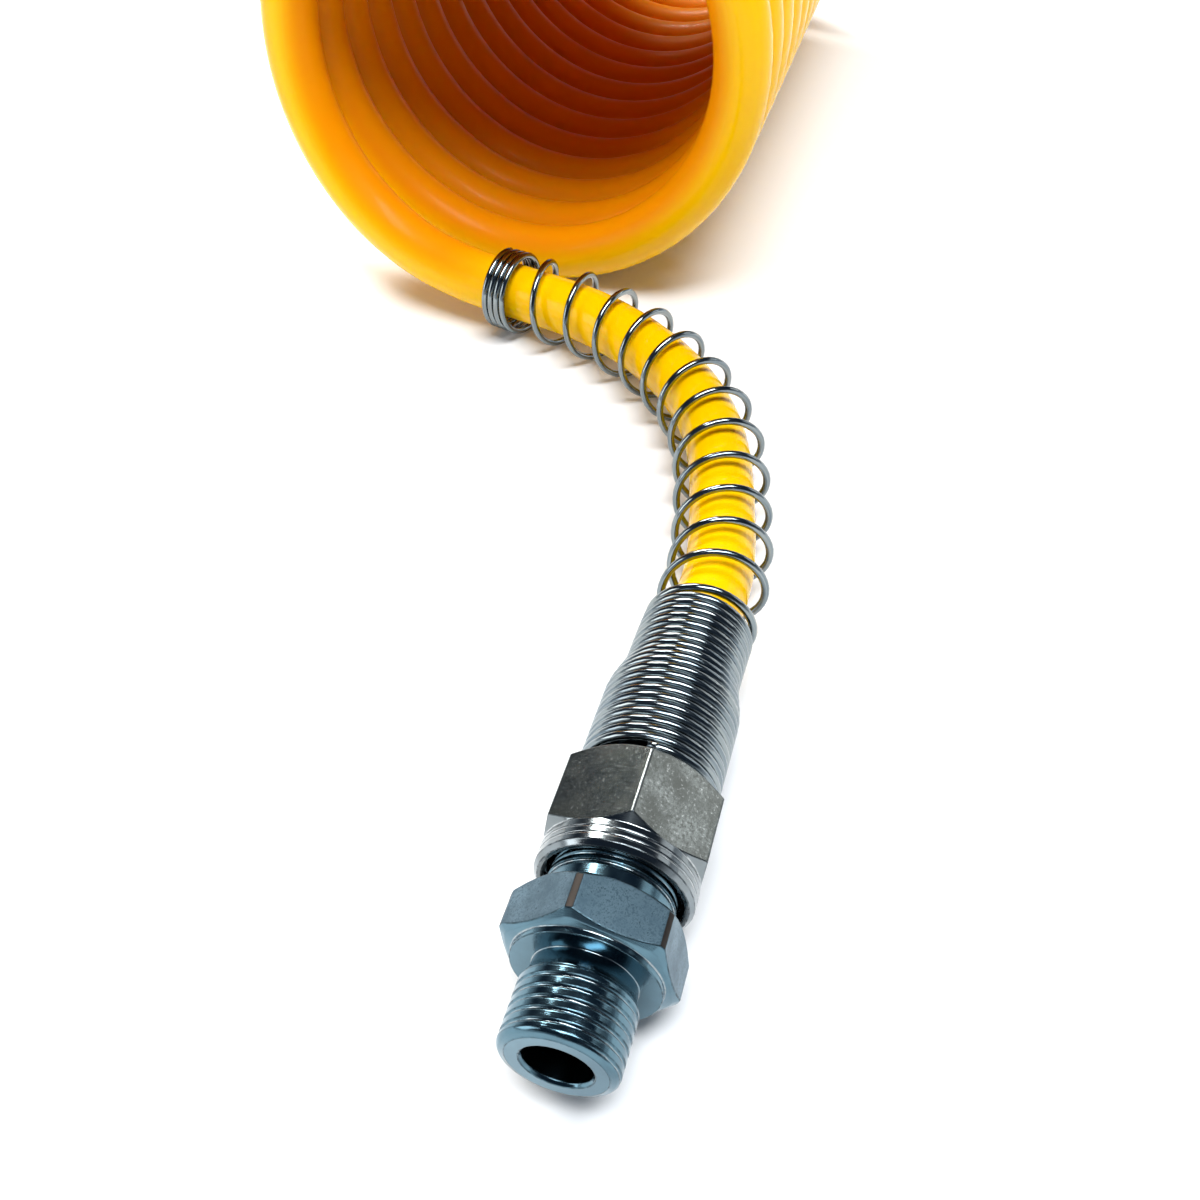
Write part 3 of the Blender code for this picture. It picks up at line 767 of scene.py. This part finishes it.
@dataclass
class Tube:
    """The plastic tube: its way through the unions, the tails and the coil.

    Attributes:
        diameter: Outside of the tube.
        bore: Inside of the tube.
        hollow: How far from each end the bore is made. Beyond that no one can look.
        sides: Corners of its section.
        steps: Points of its centre line in one turn of the coil.
        coil_diameter: Of the coil, at the tube's centre.
        turns: Turns of the coil.
        turn_gap: Between neighbouring turns, before winding widens the tube.
        widened: How much wider than high winding makes the tube.
        leaves_at: Angle from the floor at which the first turn leaves the helix.
        offset: Across, from the coil's axis to the unions' axes.
        reach: Along, from the coil's first turn to the thread's tip.
        height: Of the unions' axes above the floor.
        tube_end: From the thread's tip to the tube's end.
        straight_to: From the thread's tip to where the tube starts to bend.
        route: The tube's way to the coil: across, along and up from the lowest point of the coil's first
            turn.
        meets: Where the tail's solid meets the coil's, given in the same way.
        heading: The tube's way there, which it keeps for one diameter.
        before: From the point ahead of that place to it.
        gripped: From that place to where the spring guard's last turn grips the tube.
        lead: Between that place and the helix.
        path: The centre line, once the tube is built.
        length: The tube's length, once it is built.
    """

    diameter: float = 12.0 * MM
    bore: float = 9.0 * MM
    hollow: float = 120.0 * MM
    sides: int = 28
    steps: int = 72
    coil_diameter: float = 98.0 * MM
    turns: int = 16
    turn_gap: float = 0.5 * MM
    widened: float = 0.46 * MM
    leaves_at: float = math.radians(112.5)
    offset: float = 68.5 * MM
    reach: float = 183.4 * MM
    height: float = 12.8017 * MM
    tube_end: float = 28.4 * MM
    straight_to: float = 66.5 * MM
    route: tuple[tuple[float, float, float], ...] = (
        (0.0686, -0.1090, 0.0127), (0.0690, -0.1030, 0.0122), (0.0691, -0.0960, 0.0113),
        (0.0682, -0.0868, 0.0101), (0.0662, -0.0767, 0.0095), (0.0637, -0.0654, 0.0094),
        (0.0602, -0.0539, 0.0094), (0.0549, -0.0436, 0.0094), (0.0485, -0.0352, 0.0094),
        (0.0407, -0.0278, 0.0094), (0.0315, -0.0214, 0.0094), (0.0217, -0.0167, 0.0094))
    meets: tuple[float, float, float] = (0.0058, -0.0125, 0.0095)
    heading: tuple[float, float, float] = (-0.974, 0.225, 0.035)
    before: float = 2.3 * MM
    gripped: float = 4.4 * MM
    lead: tuple[tuple[float, float, float], ...] = (
        (-0.0197, -0.0065, 0.0127), (-0.0322, -0.0034, 0.0199), (-0.0418, -0.0008, 0.0309),
        (-0.0476, 0.0014, 0.0445), (-0.0487, 0.0029, 0.0593))
    path: Array = field(init=False)
    length: float = field(init=False)

    @property
    def coil_front(self) -> float:
        """Y of the first turn's lowest point."""
        return -self.turns * (self.diameter + self.turn_gap) / 2

    @property
    def tip(self) -> Array:
        """Tip of end A's connecting thread, on its axis."""
        return np.array([self.offset, self.coil_front - self.reach, self.height])

    def helix(self, angle: Array) -> Array:
        """Points of the coil: (−R sin a, pitch · a/2π, R − R cos a), with a from the floor.

        Args:
            angle: Angles a.

        Returns:
            Angles by xyz.
        """
        radius = self.coil_diameter / 2
        along = self.coil_front + (self.diameter + self.turn_gap) * angle / TAU
        height = self.diameter / 2 + radius - radius * np.cos(angle)
        return np.stack([-radius * np.sin(angle), along, height], -1)

    def tail(self) -> Array:
        """The smooth way from the tube's end in union A to the coil's helix, a point every millimetre.

        The curve through the chosen points is evened out where it bends by a running mean with weights 1 +
        cos, over 12 mm to each side.

        Returns:
            Points by xyz.
        """
        shift = np.array([0.0, self.coil_front, 0.0])
        held = (self.tube_end, NUT_BACK * MM, SPIGOT_END * MM, self.straight_to)
        straight = [self.tip + (0.0, along, 0.0) for along in held]
        meets, heading = np.array(self.meets) + shift, unit(np.array(self.heading))
        meeting = [meets - heading * self.before, meets, meets + heading * self.diameter]
        helix = self.helix(self.leaves_at + np.radians([0.0, 22.5, 45.0, 67.5]))
        knots = [straight, np.array(self.route) + shift, meeting, np.array(self.lead) + shift, helix]
        path = smooth_curve(np.concatenate(knots), 1.0 * MM)
        length = np.arange(0.0, running_length(path)[-1], 1.0 * MM)
        path = at_lengths(path, length)
        beside = 12
        weights = np.hanning(2 * beside + 1) / np.hanning(2 * beside + 1).sum()
        padded = [np.pad(axis, beside, mode="edge") for axis in path.T]
        even = np.stack([np.convolve(axis, weights, mode="valid") for axis in padded], -1)
        bend, merges = self.straight_to - self.tube_end, length[nearest(path, helix[0])]
        bent = smoothstep(length, bend - 14 * MM, bend + 6 * MM)
        share = (bent * smoothstep(-length, -merges, 25 * MM - merges))[:, None]
        path = path + (even - path) * share
        return path[:nearest(path, helix[0])]

    def guard_stop(self) -> float:
        """Running length along the tail at which the spring guard's last turn grips it."""
        tail = self.tail()
        past = unit(np.array(self.heading)) * self.gripped
        place = np.array(self.meets) + (0.0, self.coil_front, 0.0) + past
        return float(running_length(tail)[nearest(tail, place)])

    def centre_line(self) -> tuple[Array, Array, Array]:
        """The whole tube's centre line, and for each of its points the vector that its section is held up by.

        Where the tube winds, that vector points to the coil's axis; along the tails it points up.

        Returns:
            Points by xyz, vectors by xyz, and the share of winding at each point.
        """
        half = self.tail()
        span = TAU * self.turns - 2 * self.leaves_at
        shares = np.linspace(0.0, 1.0, round(span / TAU * self.steps) + 1)
        path = np.concatenate([half, self.helix(self.leaves_at + span * shares), (half * End.B.turn)[::-1]])
        inward = unit(UP * (self.diameter / 2 + self.coil_diameter / 2) - path * (1.0, 0.0, 1.0))
        wound = smoothstep(-np.abs(path[:, 1]), self.coil_front - 14 * MM, self.coil_front - 8 * MM)[:, None]
        return path, wound * inward + (1 - wound) * UP, wound

    def build(self, material: bpy.types.Material) -> bpy.types.Object:
        """Makes the tube, with its bore as far as it can be looked into.

        Its section is an ellipse as high as the tube and, where it is wound, a little wider, so that the
        turns touch.

        Args:
            material: Its finish.

        Returns:
            The piece.
        """
        path, reference, wound = self.centre_line()
        ring = ring_angles(self.sides)
        width = self.diameter / 2 + wound * self.widened / 2
        radius = np.hypot(self.diameter / 2 * np.cos(ring), width * np.sin(ring))
        outer = carried(path, reference, ring, radius)
        length = running_length(path)
        centre = outer.mean(1, keepdims=True)
        last, deep = len(path) - 1, int(np.searchsorted(length, self.hollow))
        way_in = [deep, *range(deep, -1, -1)]
        rows = [*way_in, *range(last + 1), *(last - row for row in reversed(way_in))]
        bore, cap = [self.bore / self.diameter] * (deep + 1), 0.01
        shares = [cap, *bore, *[1.0] * (last + 1), *bore, cap]
        spokes = (outer[rows] - centre[rows]) * np.array(shares)[:, None, None]
        lay = turned_points(np.linalg.norm(spokes, axis=-1), ring, length[rows, None])
        grid, zone = centre[rows] + spokes, wound[rows]
        piece = Surface(grid, lay, loops=False, zone=zone).piece("hose", material)
        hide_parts("hose_coil", "hose_tail_a", "hose_tail_b")
        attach(piece, "hose")
        self.path, self.length = path, float(length[-1])
        return piece


# -----------------------------------------------------------------------------------------------------------
# The unions
# -----------------------------------------------------------------------------------------------------------


@dataclass
class Hexagon:
    """Columns of a hexagonal piece: where its angles lie and how far out its faces are, in millimetres.

    Attributes:
        across_flats: Spanner size.
        over_corners: Diameter to which the six long edges are turned off.
        turn: Angle of one corner from straight up.
    """

    across_flats: float
    over_corners: float
    turn: float

    def columns(self) -> tuple[Array, Array, Array]:
        """Angle, radius and skin of each column.

        On a face, at a share s of its half width, the angle from its middle is atan(s tan 30°) and the radius
        is half the spanner size over its cosine, but no more than half the size over corners. A column on
        each side of the place where the two meet bevels the edge, and one more keeps the face flat.

        Returns:
            Angles, radii, and 1 on the faces or −1 on the turned-off corners.
        """
        half, bar, sixth = self.across_flats / 2, self.over_corners / 2, math.pi / 6
        meets = math.sqrt(bar**2 - half**2) / (half * math.tan(sixth))
        near = np.array([meets - 0.04, meets - 0.012, min(meets + 0.012, (1 + meets) / 2)])
        share = np.array([-1.0, *-near[::-1], *np.linspace(-0.6, 0.6, 7), *near])
        angle = np.arctan(share * math.tan(sixth))
        faces = np.arange(6)[:, None] * math.pi / 3 + math.pi / 2 + self.turn + sixth
        radius, skin = np.minimum(half / np.cos(angle), bar), np.where(abs(share) < meets, 1.0, -1.0)
        return (faces + angle).ravel(), np.tile(radius, 6), np.tile(skin, 6)


@dataclass
class Thread:
    """A screw thread as rows of an outline, with its sizes in millimetres.

    Attributes:
        start: Where it starts along the axis.
        end: Where it ends.
        crest: Radius of its crests.
        root: Radius of its roots.
        pitch: Its pitch.
        tip_radius: Radius to which the lead at its start is turned down.
        lead: Length of the lead.
        fade: Length over which it runs out at its end.
    """

    start: float
    end: float
    crest: float
    root: float
    pitch: float
    tip_radius: float
    lead: float
    fade: float

    def rows(self, angles: Array) -> Array:
        """The thread's rows: radius = root + depth · wave(along/pitch − angle/2π), inside the lead's curve.

        The wave is 1 − (1 − d/g)², where d is the distance from the root in turns and g the groove's half
        width: a narrow groove between broad rounded crests. The lead is a quarter of an ellipse.

        Args:
            angles: Angle of each column.

        Returns:
            Rows by columns by (along, radius), in metres.
        """
        rows_a_turn, groove_half, clear = 14, 0.24, 0.05
        along = np.arange(self.start, self.end, self.pitch / rows_a_turn)[:, None] + 0 * angles
        phase = (along / self.pitch - angles / TAU) % 1.0
        wave = 1 - (1 - np.clip((0.5 - np.abs(phase - 0.5)) / groove_half, 0.0, 1.0)) ** 2
        depth = (self.crest - self.root) * smoothstep(self.end - along, 0.0, self.fade)
        radius = self.root + depth * wave
        ahead = 1 - np.clip((along - self.start) / self.lead, 0.0, 1.0)
        lead = self.tip_radius + (self.crest + clear - self.tip_radius) * np.sqrt(1 - ahead**2)
        return np.stack([along, np.minimum(radius, lead)], -1) * MM


@dataclass
class Union:
    """One end's screwed union: stud, nut, clamping ring and support sleeve.

    Its places are from the tip of the connecting thread along the union's axis. The sizes from spanner on are
    in millimetres, and each is a radius or a place unless it says otherwise.

    Attributes:
        end: Which end it is.
        tip: Tip of the connecting thread.
        cut: Rounding of the edges of the stud and the nut.
        fine_cut: Rounding of the edges of the ring and the sleeve.
        spanner: Size across the flats of both hexagons.
        corners: Diameters to which the long edges of the stud's and the nut's hexagon are turned off.
        turns: Angles of a corner of the stud's and the nut's hexagon from straight up.
        pitch: Of both threads.
        bore: The stud's bore.
        shoulder: Place of the shoulder that seats on the port.
        collar: The stud's collar in front of its hexagon.
        flats: Places where the stud's hexagon starts and ends.
        rim: The stud's hexagon where its rear chamfer ends.
        neck: The stud behind its hexagon.
        socket: The stud's socket for the tube.
        stud_end: Place of the stud's rear face.
        skirt: The nut's round skirt.
        nut_front: Place of the nut's front face.
        nut_flats: Place where the nut's hexagon starts.
        nut_rim: The nut's hexagon where its rear chamfer ends.
        thread_bore: The nut's bore round the stud's rear thread.
        spigot: The nut's spigot, which the spring guard sits on.
        tube_hole: Hole of the nut and of the clamping ring round the tube.
        sleeve_bore: Bore of the support sleeve.
        sleeve: Outside of its shank.
    """

    end: End
    tip: Array
    cut: float = 0.13 * MM
    fine_cut: float = 0.08 * MM
    spanner: float = 22.0
    corners: tuple[float, float] = (24.85, 25.3)
    turns: tuple[float, float] = (math.radians(-11.9), math.radians(5.9))
    pitch: float = 1.5
    bore: float = 4.5
    shoulder: float = 12.0
    collar: float = 10.15
    flats: tuple[float, float] = (12.85, 20.4)
    rim: float = 10.7
    neck: float = 8.9
    socket: float = 6.3
    stud_end: float = 34.4
    skirt: float = 11.15
    nut_front: float = 24.6
    nut_flats: float = 28.6
    nut_rim: float = 10.6
    thread_bore: float = 9.2
    spigot: float = 7.6
    tube_hole: float = 6.35
    sleeve_bore: float = 3.6
    sleeve: float = 4.2

    def placed(self, rows: Array, angles: Array) -> tuple[Array, Array]:
        """Turns rows of (along, radius) round the union's axis.

        In the union's frame a point is (r cos a, r sin a, along); in the part's it is tip + (−s·x, s·z, y),
        where s is 1 at end A and −1 at end B.

        Args:
            rows: Rows by columns by (along, radius).
            angles: Angle of each column.

        Returns:
            The grid in the part's frame and in the union's.
        """
        own = turned_points(rows[..., 1], angles, rows[..., 0])
        x, y, z = np.moveaxis(own, -1, 0)
        sign = self.end.value
        return self.tip + np.stack([-sign * x, sign * z, y], -1), own

    def finish(self, name: str, parts: list[Array], angles: Array, material: bpy.types.Material, body: str,
               flat: Array | float = 0.0, skin: Array | float = 0.0) -> bpy.types.Object:
        """Joins an outline's parts into one closed piece and hangs it on its body.

        Args:
            name: Name of the solid that it replaces, without the end's letter.
            parts: Parts of the outline, front to back outside and back to front inside.
            angles: Angle of each column.
            material: Its finish.
            body: Name of the body that carries it.
            flat: Radius of a hexagon's faces at each column, in millimetres.
            skin: The zone of what lies on those faces.

        Returns:
            The piece.
        """
        rows = np.concatenate(parts)
        grid, own = self.placed(rows, angles)
        zone = (1.0 - smoothstep(np.abs(rows[..., 1] - flat * MM), 0.0, 0.02 * MM)) * skin
        piece = Surface(grid, own, zone=zone).piece(f"{name}_detail_{self.end.letter}", material)
        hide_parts(f"{name}_{self.end.letter}")
        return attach(piece, body)

    def stud(self, material: bpy.types.Material) -> bpy.types.Object:
        """The stud: connecting thread, neck, shoulder, hexagon, grooved rear, rear thread and socket."""
        angles, flat, skin = Hexagon(self.spanner, self.corners[0], self.turns[0]).columns()
        count = len(angles)
        begins, ends = self.flats
        over, behind = flat - self.collar, flat - self.rim
        front = Thread(0.1, 9.6, 7.9, 7.55, self.pitch, tip_radius=6.85, lead=1.1, fade=0.7)
        rear = Thread(24.9, 34.2, 8.88, 8.12, self.pitch, tip_radius=8.5, lead=0.5, fade=0.01)
        mouth = outline_rows([(0.9, self.bore), (0.45, self.bore), (0.0, 4.85), (0.0, 6.65), (0.08, 6.82)],
                             count, self.cut)
        middle = outline_rows([
            (9.7, 7.15), (self.shoulder, 7.05), (self.shoulder, 10.1), (begins, self.collar),
            (begins + over * 0.22, self.collar + over * 0.55), (begins + over * 0.56, flat),
            (ends - behind * 0.75, flat), (ends - behind * 0.3, self.rim + behind * 0.55), (ends, self.rim),
            (ends, self.neck), *groove(23.2, 23.9, self.neck, 0.3), (24.6, self.neck), (24.85, 8.5)],
            count, self.cut)
        inside = outline_rows([
            (34.25, 8.15), (self.stud_end, 8.0), (self.stud_end, 7.6), (31.5, self.socket),
            (27.0, self.socket), (27.0, self.bore), (1.0, self.bore)], count, self.cut)
        return self.finish("stud_connector", [mouth, front.rows(angles), middle, rear.rows(angles), inside],
                           angles, material, "hose", flat, skin)

    def nut(self, material: bpy.types.Material) -> bpy.types.Object:
        """The nut: chamfered skirt, hexagon, rear collar, spigot, bore, cone and thread bore."""
        angles, flat, skin = Hexagon(self.spanner, self.corners[1], self.turns[1]).columns()
        starts = (self.nut_flats, np.minimum(flat, 11.2))
        outside = outline_rows([
            (25.6, self.thread_bore), (self.nut_front, 9.9), (self.nut_front, 10.5), (25.3, self.skirt),
            *groove(26.1, 26.55, self.skirt, 0.07), *groove(27.2, 27.6, self.skirt, 0.06), (28.5, self.skirt),
            starts, (self.nut_flats + (flat - 11.0) * 0.56, flat),
            (NUT_BACK - (flat - self.nut_rim) * 0.75, flat),
            (NUT_BACK, self.nut_rim), (NUT_BACK, self.spigot), (57.3, self.spigot), (SPIGOT_END, 7.4),
            (SPIGOT_END, self.tube_hole), (38.0, self.tube_hole), (35.8, self.thread_bore),
            (30.0, self.thread_bore)], len(angles), self.cut)
        return self.finish("union_nut", [outside], angles, material, f"nut_{self.end.letter}",
                           flat, skin)

    def round_piece(self, name: str, points: list[tuple[float, float]], material: bpy.types.Material
                    ) -> bpy.types.Object:
        """Turns a round piece inside the union.

        Args:
            name: Name of the solid that it replaces, without the end's letter.
            points: Its outline in millimetres.
            material: Its finish.

        Returns:
            The piece.
        """
        outline = outline_rows(points, ROUND_COLUMNS, self.fine_cut)
        return self.finish(name, [outline], ring_angles(ROUND_COLUMNS), material, "hose")

    def ring(self, material: bpy.types.Material) -> bpy.types.Object:
        """The clamping ring: a nose in the stud's cone, a land and a heel in the nut's cone."""
        hole, nose, land, heel = self.tube_hole, 32.9, 8.25, 37.2
        return self.round_piece("clamping_ring", [
            (34.0, hole), (nose, hole), (nose, 6.55), (34.4, 7.2), (34.7, 7.25), (34.7, land), (35.5, land),
            (heel, 6.68), (heel, hole), (35.0, hole)], material)

    def sleeve_piece(self, material: bpy.types.Material) -> bpy.types.Object:
        """The support sleeve: a flange against the socket's floor and a shank in the tube."""
        hole, front, flange, back = self.sleeve_bore, 27.3, 5.95, 38.5
        return self.round_piece("support_sleeve", [
            (30.0, hole), (front, hole), (front, flange), (28.1, flange), (28.1, self.sleeve),
            (38.3, self.sleeve), (back, 4.0), (back, hole), (32.0, hole)], material)


# -----------------------------------------------------------------------------------------------------------
# The spring guards
# -----------------------------------------------------------------------------------------------------------


@dataclass
class SpringGuard:
    """The wire spring round the tube behind a nut.

    Attributes:
        wire: Diameter of the wire.
        start: Of the first turn's wire, from the thread's tip.
        close_end: Where the close turns end.
        close_turns: Number of close turns.
        open_turns: Number of open turns.
        end_turns: Number of turns that close it on the tube.
        end_pitch: Their spacing.
        seated: Outside diameter on the nut's spigot.
        slim: Outside diameter round the tube.
        closed: Outside diameter at the far end.
        slims: Where it narrows from the spigot's size to the tube's.
        grips: Length over which it closes on the tube at its far end.
        fixed_at: Not used; meant as where the part of it that follows the nut fades out.
        sides: Corners of the wire's section.
        steps: Points of its centre line in one turn.
        evened: Points to each side over which its spacing is evened out.
        kept: Points at each end that stay as they are.
    """

    wire: float = 1.4 * MM
    start: float = 42.6 * MM
    close_end: float = 75.6 * MM
    close_turns: float = 22.0
    open_turns: float = 12.6
    end_turns: float = 3.5
    end_pitch: float = 1.5 * MM
    seated: float = 21.0 * MM
    slim: float = 18.2 * MM
    closed: float = 17.8 * MM
    slims: tuple[float, float] = (57.0 * MM, 65.0 * MM)
    grips: float = 8.0 * MM
    fixed_at: float = 150.0 * MM
    sides: int = 12
    steps: int = 40
    evened: int = 10
    kept: int = 30

    def winding(self, tube: Tube) -> tuple[Array, Array]:
        """The wire's centre line round end A's tube, and each point's direction away from the tube's centre.

        The wire's angle grows evenly along each stretch: point = centre + r (cos a · up + sin a · side).

        Args:
            tube: The tube that it goes round.

        Returns:
            Points by xyz, and vectors by xyz.
        """
        tail = tube.tail()
        last = tube.guard_stop() + tube.tube_end
        open_end = last - self.end_turns * self.end_pitch
        stretches = (
            (self.start, self.close_end, self.close_turns), (self.close_end, open_end, self.open_turns),
            (open_end, last, self.end_turns))
        along, angle = [np.array([self.start])], [np.zeros(1)]
        for begin, end, turns in stretches:
            share = np.linspace(0.0, 1.0, round(turns * self.steps) + 1)[1:]
            along.append(begin + (end - begin) * share)
            angle.append(angle[-1][-1] + TAU * turns * share)
        turn = np.arange(0, angle[-1][-1], TAU / self.steps)
        even = np.interp(turn, np.concatenate(angle), np.concatenate(along))
        window = 2 * self.evened + 1
        slack = np.convolve(np.pad(even, self.evened, mode="edge"), np.ones(window) / window, mode="valid")
        even[self.kept:-self.kept] = slack[self.kept:-self.kept]
        slim, grip = smoothstep(even, *self.slims), smoothstep(even, last - self.grips, last)
        outer = self.seated + (self.slim - self.seated) * slim + (self.closed - self.slim) * grip
        place, step = even - tube.tube_end, 0.5 * MM
        heading = unit(at_lengths(tail, place + step) - at_lengths(tail, place - step))
        up = unit(UP - heading * heading[:, 2:])
        away = np.cos(turn)[:, None] * up + np.sin(turn)[:, None] * np.cross(heading, up)
        return at_lengths(tail, place) + away * ((outer - self.wire) / 2)[:, None], away

    def build(self, end: End, tube: Tube, material: bpy.types.Material) -> bpy.types.Object:
        """Makes one guard round the tube between its nut's end and the hose.

        Args:
            end: Which end it is on.
            tube: The tube that it goes round.
            material: Its finish.

        Returns:
            The piece.
        """
        path, away = self.winding(tube)
        ring = ring_angles(self.sides)
        grid = carried(path, away, ring, self.wire / 2) * end.turn
        lay = turned_points(self.wire / 2, ring, running_length(path)[:, None])
        piece = Surface(grid, lay, loops=False).piece(f"spring_guard_wire_{end.letter}", material)
        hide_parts(f"spring_guard_{end.letter}")
        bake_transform(piece)
        return piece


# -----------------------------------------------------------------------------------------------------------
# The studio
# -----------------------------------------------------------------------------------------------------------


@dataclass(frozen=True)
class Softbox:
    """One area light aimed at the union in view.

    Attributes:
        name: Its name.
        place: Where it stands.
        size: Width and height.
        power: Watts.
        tint: Its colour.
        aim: The point that it faces.
    """

    name: str
    place: tuple[float, float, float]
    size: tuple[float, float]
    power: float
    tint: Colour = (1.0, 1.0, 1.0)
    aim: tuple[float, float, float] = (0.03, -0.12, 0.02)

    def hang(self) -> None:
        """Makes the light."""
        data = bpy.data.lights.new(self.name, "AREA")
        data.shape = "RECTANGLE"
        data.size, data.size_y = self.size
        data.energy, data.color = self.power, self.tint
        lamp = bpy.data.objects.new(self.name, data)
        lamp.location = self.place
        lamp.rotation_euler = (Vector(self.aim) - Vector(self.place)).to_track_quat("-Z", "Y").to_euler()
        bpy.context.scene.collection.objects.link(lamp)


@dataclass
class Studio:
    """Floor, lights, surroundings and camera.

    Attributes:
        camera_at: Where the camera stands.
        heading: Its way over the floor.
        pitch: How far down it looks.
        lens: Focal length on a 36 mm sensor, in millimetres.
    """

    camera_at: tuple[float, float, float] = (0.0917, -0.3454, 0.1555)
    heading: tuple[float, float] = (-0.2756, 0.9613)
    pitch: float = math.radians(44.5)
    lens: float = 37.17

    def build(self) -> None:
        """Sets up everything that isn't the object."""
        self.floor()
        self.surroundings()
        for box in (
            Softbox("key", (-0.44, 0.51, 0.74), (0.44, 0.34), 13.0, (1.0, 0.98, 0.94)),
            Softbox("overhead", (0.25, -0.35, 1.15), (0.9, 0.4), 20.0, (0.94, 0.97, 1.0)),
            Softbox("right panel", (0.80, 0.46, 0.42), (0.60, 0.30), 0.7),
            Softbox("right spark", (0.86, 0.45, 0.276), (0.10, 0.07), 0.10),
            Softbox("left", (-0.95, -0.75, 0.45), (0.6, 0.6), 4.0),
        ):
            box.hang()
        self.camera()

    def floor(self) -> None:
        """A pale floor, 6 m across, with the slightest unevenness in its tone."""
        half = 3.0
        mesh = bpy.data.meshes.new("floor")
        outline = [(-half, -half, 0), (half, -half, 0), (half, half, 0), (-half, half, 0)]
        mesh.from_pydata(outline, [], [(0, 1, 2, 3)])
        floor = bpy.data.objects.new("floor", mesh)
        bpy.context.scene.collection.objects.link(floor)
        made, bench, shader = blank_material("pale floor", {"Roughness": 0.55, "IOR": 1.4})
        place = bench.add("TexCoord").outputs["Object"]
        tone = bench.span(bench.noise(place, 3.0, 3.0), 0.3, 0.7)
        bench.feed(shader, {"Base Color": bench.mix(tone, (0.86, 0.865, 0.87), (0.89, 0.89, 0.89))})
        mesh.materials.append(made)

    def surroundings(self) -> None:
        """A room that is pale near the horizon and dark above."""
        world = bpy.data.worlds.new("studio")
        bpy.context.scene.world = world
        world.use_nodes = True
        bench = Bench(world.node_tree)
        way = bench.add("TexCoord").outputs["Generated"]
        rise = bench.add("SeparateXYZ", {0: way}).outputs[2]
        colour = bench.mix(bench.span(rise, 0.0, 0.34), (0.80, 0.85, 0.90), (0.025, 0.04, 0.065))
        bench.feed(world.node_tree.nodes["Background"], {"Color": colour})

    def camera(self) -> None:
        """The camera at the photograph's angle."""
        data = bpy.data.cameras.new("camera")
        data.lens, data.sensor_width, data.clip_start = self.lens, 36.0, 0.005
        camera = bpy.data.objects.new("camera", data)
        camera.location = self.camera_at
        level = Vector((*self.heading, 0.0)).normalized() * math.cos(self.pitch)
        look = level + Vector((0.0, 0.0, -math.sin(self.pitch)))
        camera.rotation_euler = look.to_track_quat("-Z", "Y").to_euler()
        bpy.context.scene.collection.objects.link(camera)
        bpy.context.scene.camera = camera


def corners(box: tuple[Vector, Vector]) -> list[list[float]]:
    """A box's two corners as plain lists of numbers."""
    return [list(corner) for corner in box]


def main() -> None:
    """Builds the assembly end by end, and then the studio."""
    logging.basicConfig(level=logging.INFO, format="%(message)s")
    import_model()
    scene = bpy.context.scene
    scene.view_settings.view_transform = "Standard"
    effects = Effects()
    zinc = ZincPlate(
        "blue zinc plate", base=(0.15, 0.235, 0.285), shade=(0.075, 0.125, 0.16), speck=(0.04, 0.07, 0.09),
        bright=(0.30, 0.33, 0.34), corner=(0.035, 0.03, 0.027), turned=(0.105, 0.19, 0.235),
        drawn_rough=0.40, turned_rough=0.15, cloud_size=260.0, relief=0.012 * MM).material(effects)
    dull = ZincPlate(
        "dull zinc plate", base=(0.25, 0.275, 0.265), shade=(0.12, 0.13, 0.12), speck=(0.36, 0.38, 0.37),
        bright=(0.50, 0.52, 0.52), corner=(0.13, 0.14, 0.14), turned=(0.22, 0.25, 0.265),
        drawn_rough=0.19, turned_rough=0.14, cloud_size=220.0, relief=0.006 * MM).material(effects)
    brass = ZincPlate(
        "turned brass", base=(0.60, 0.42, 0.17), shade=(0.45, 0.31, 0.12), speck=(0.35, 0.24, 0.09),
        bright=(0.85, 0.65, 0.35), corner=(0.45, 0.31, 0.12), turned=(0.62, 0.43, 0.17),
        drawn_rough=0.4, turned_rough=0.28, cloud_size=500.0, relief=0.010 * MM).material(effects)
    wire = SpringWire().material(effects)

    tube = Tube()
    hose = tube.build(TubePlastic().material(effects))
    for end in End:
        union = Union(end, tube.tip * end.turn)
        made = [union.stud(zinc), union.nut(dull), union.ring(brass), union.sleeve_piece(brass)]
        made.append(SpringGuard().build(end, tube, wire))
    Studio().build()
    bpy.context.view_layer.update()


if __name__ == "__main__":
    main()
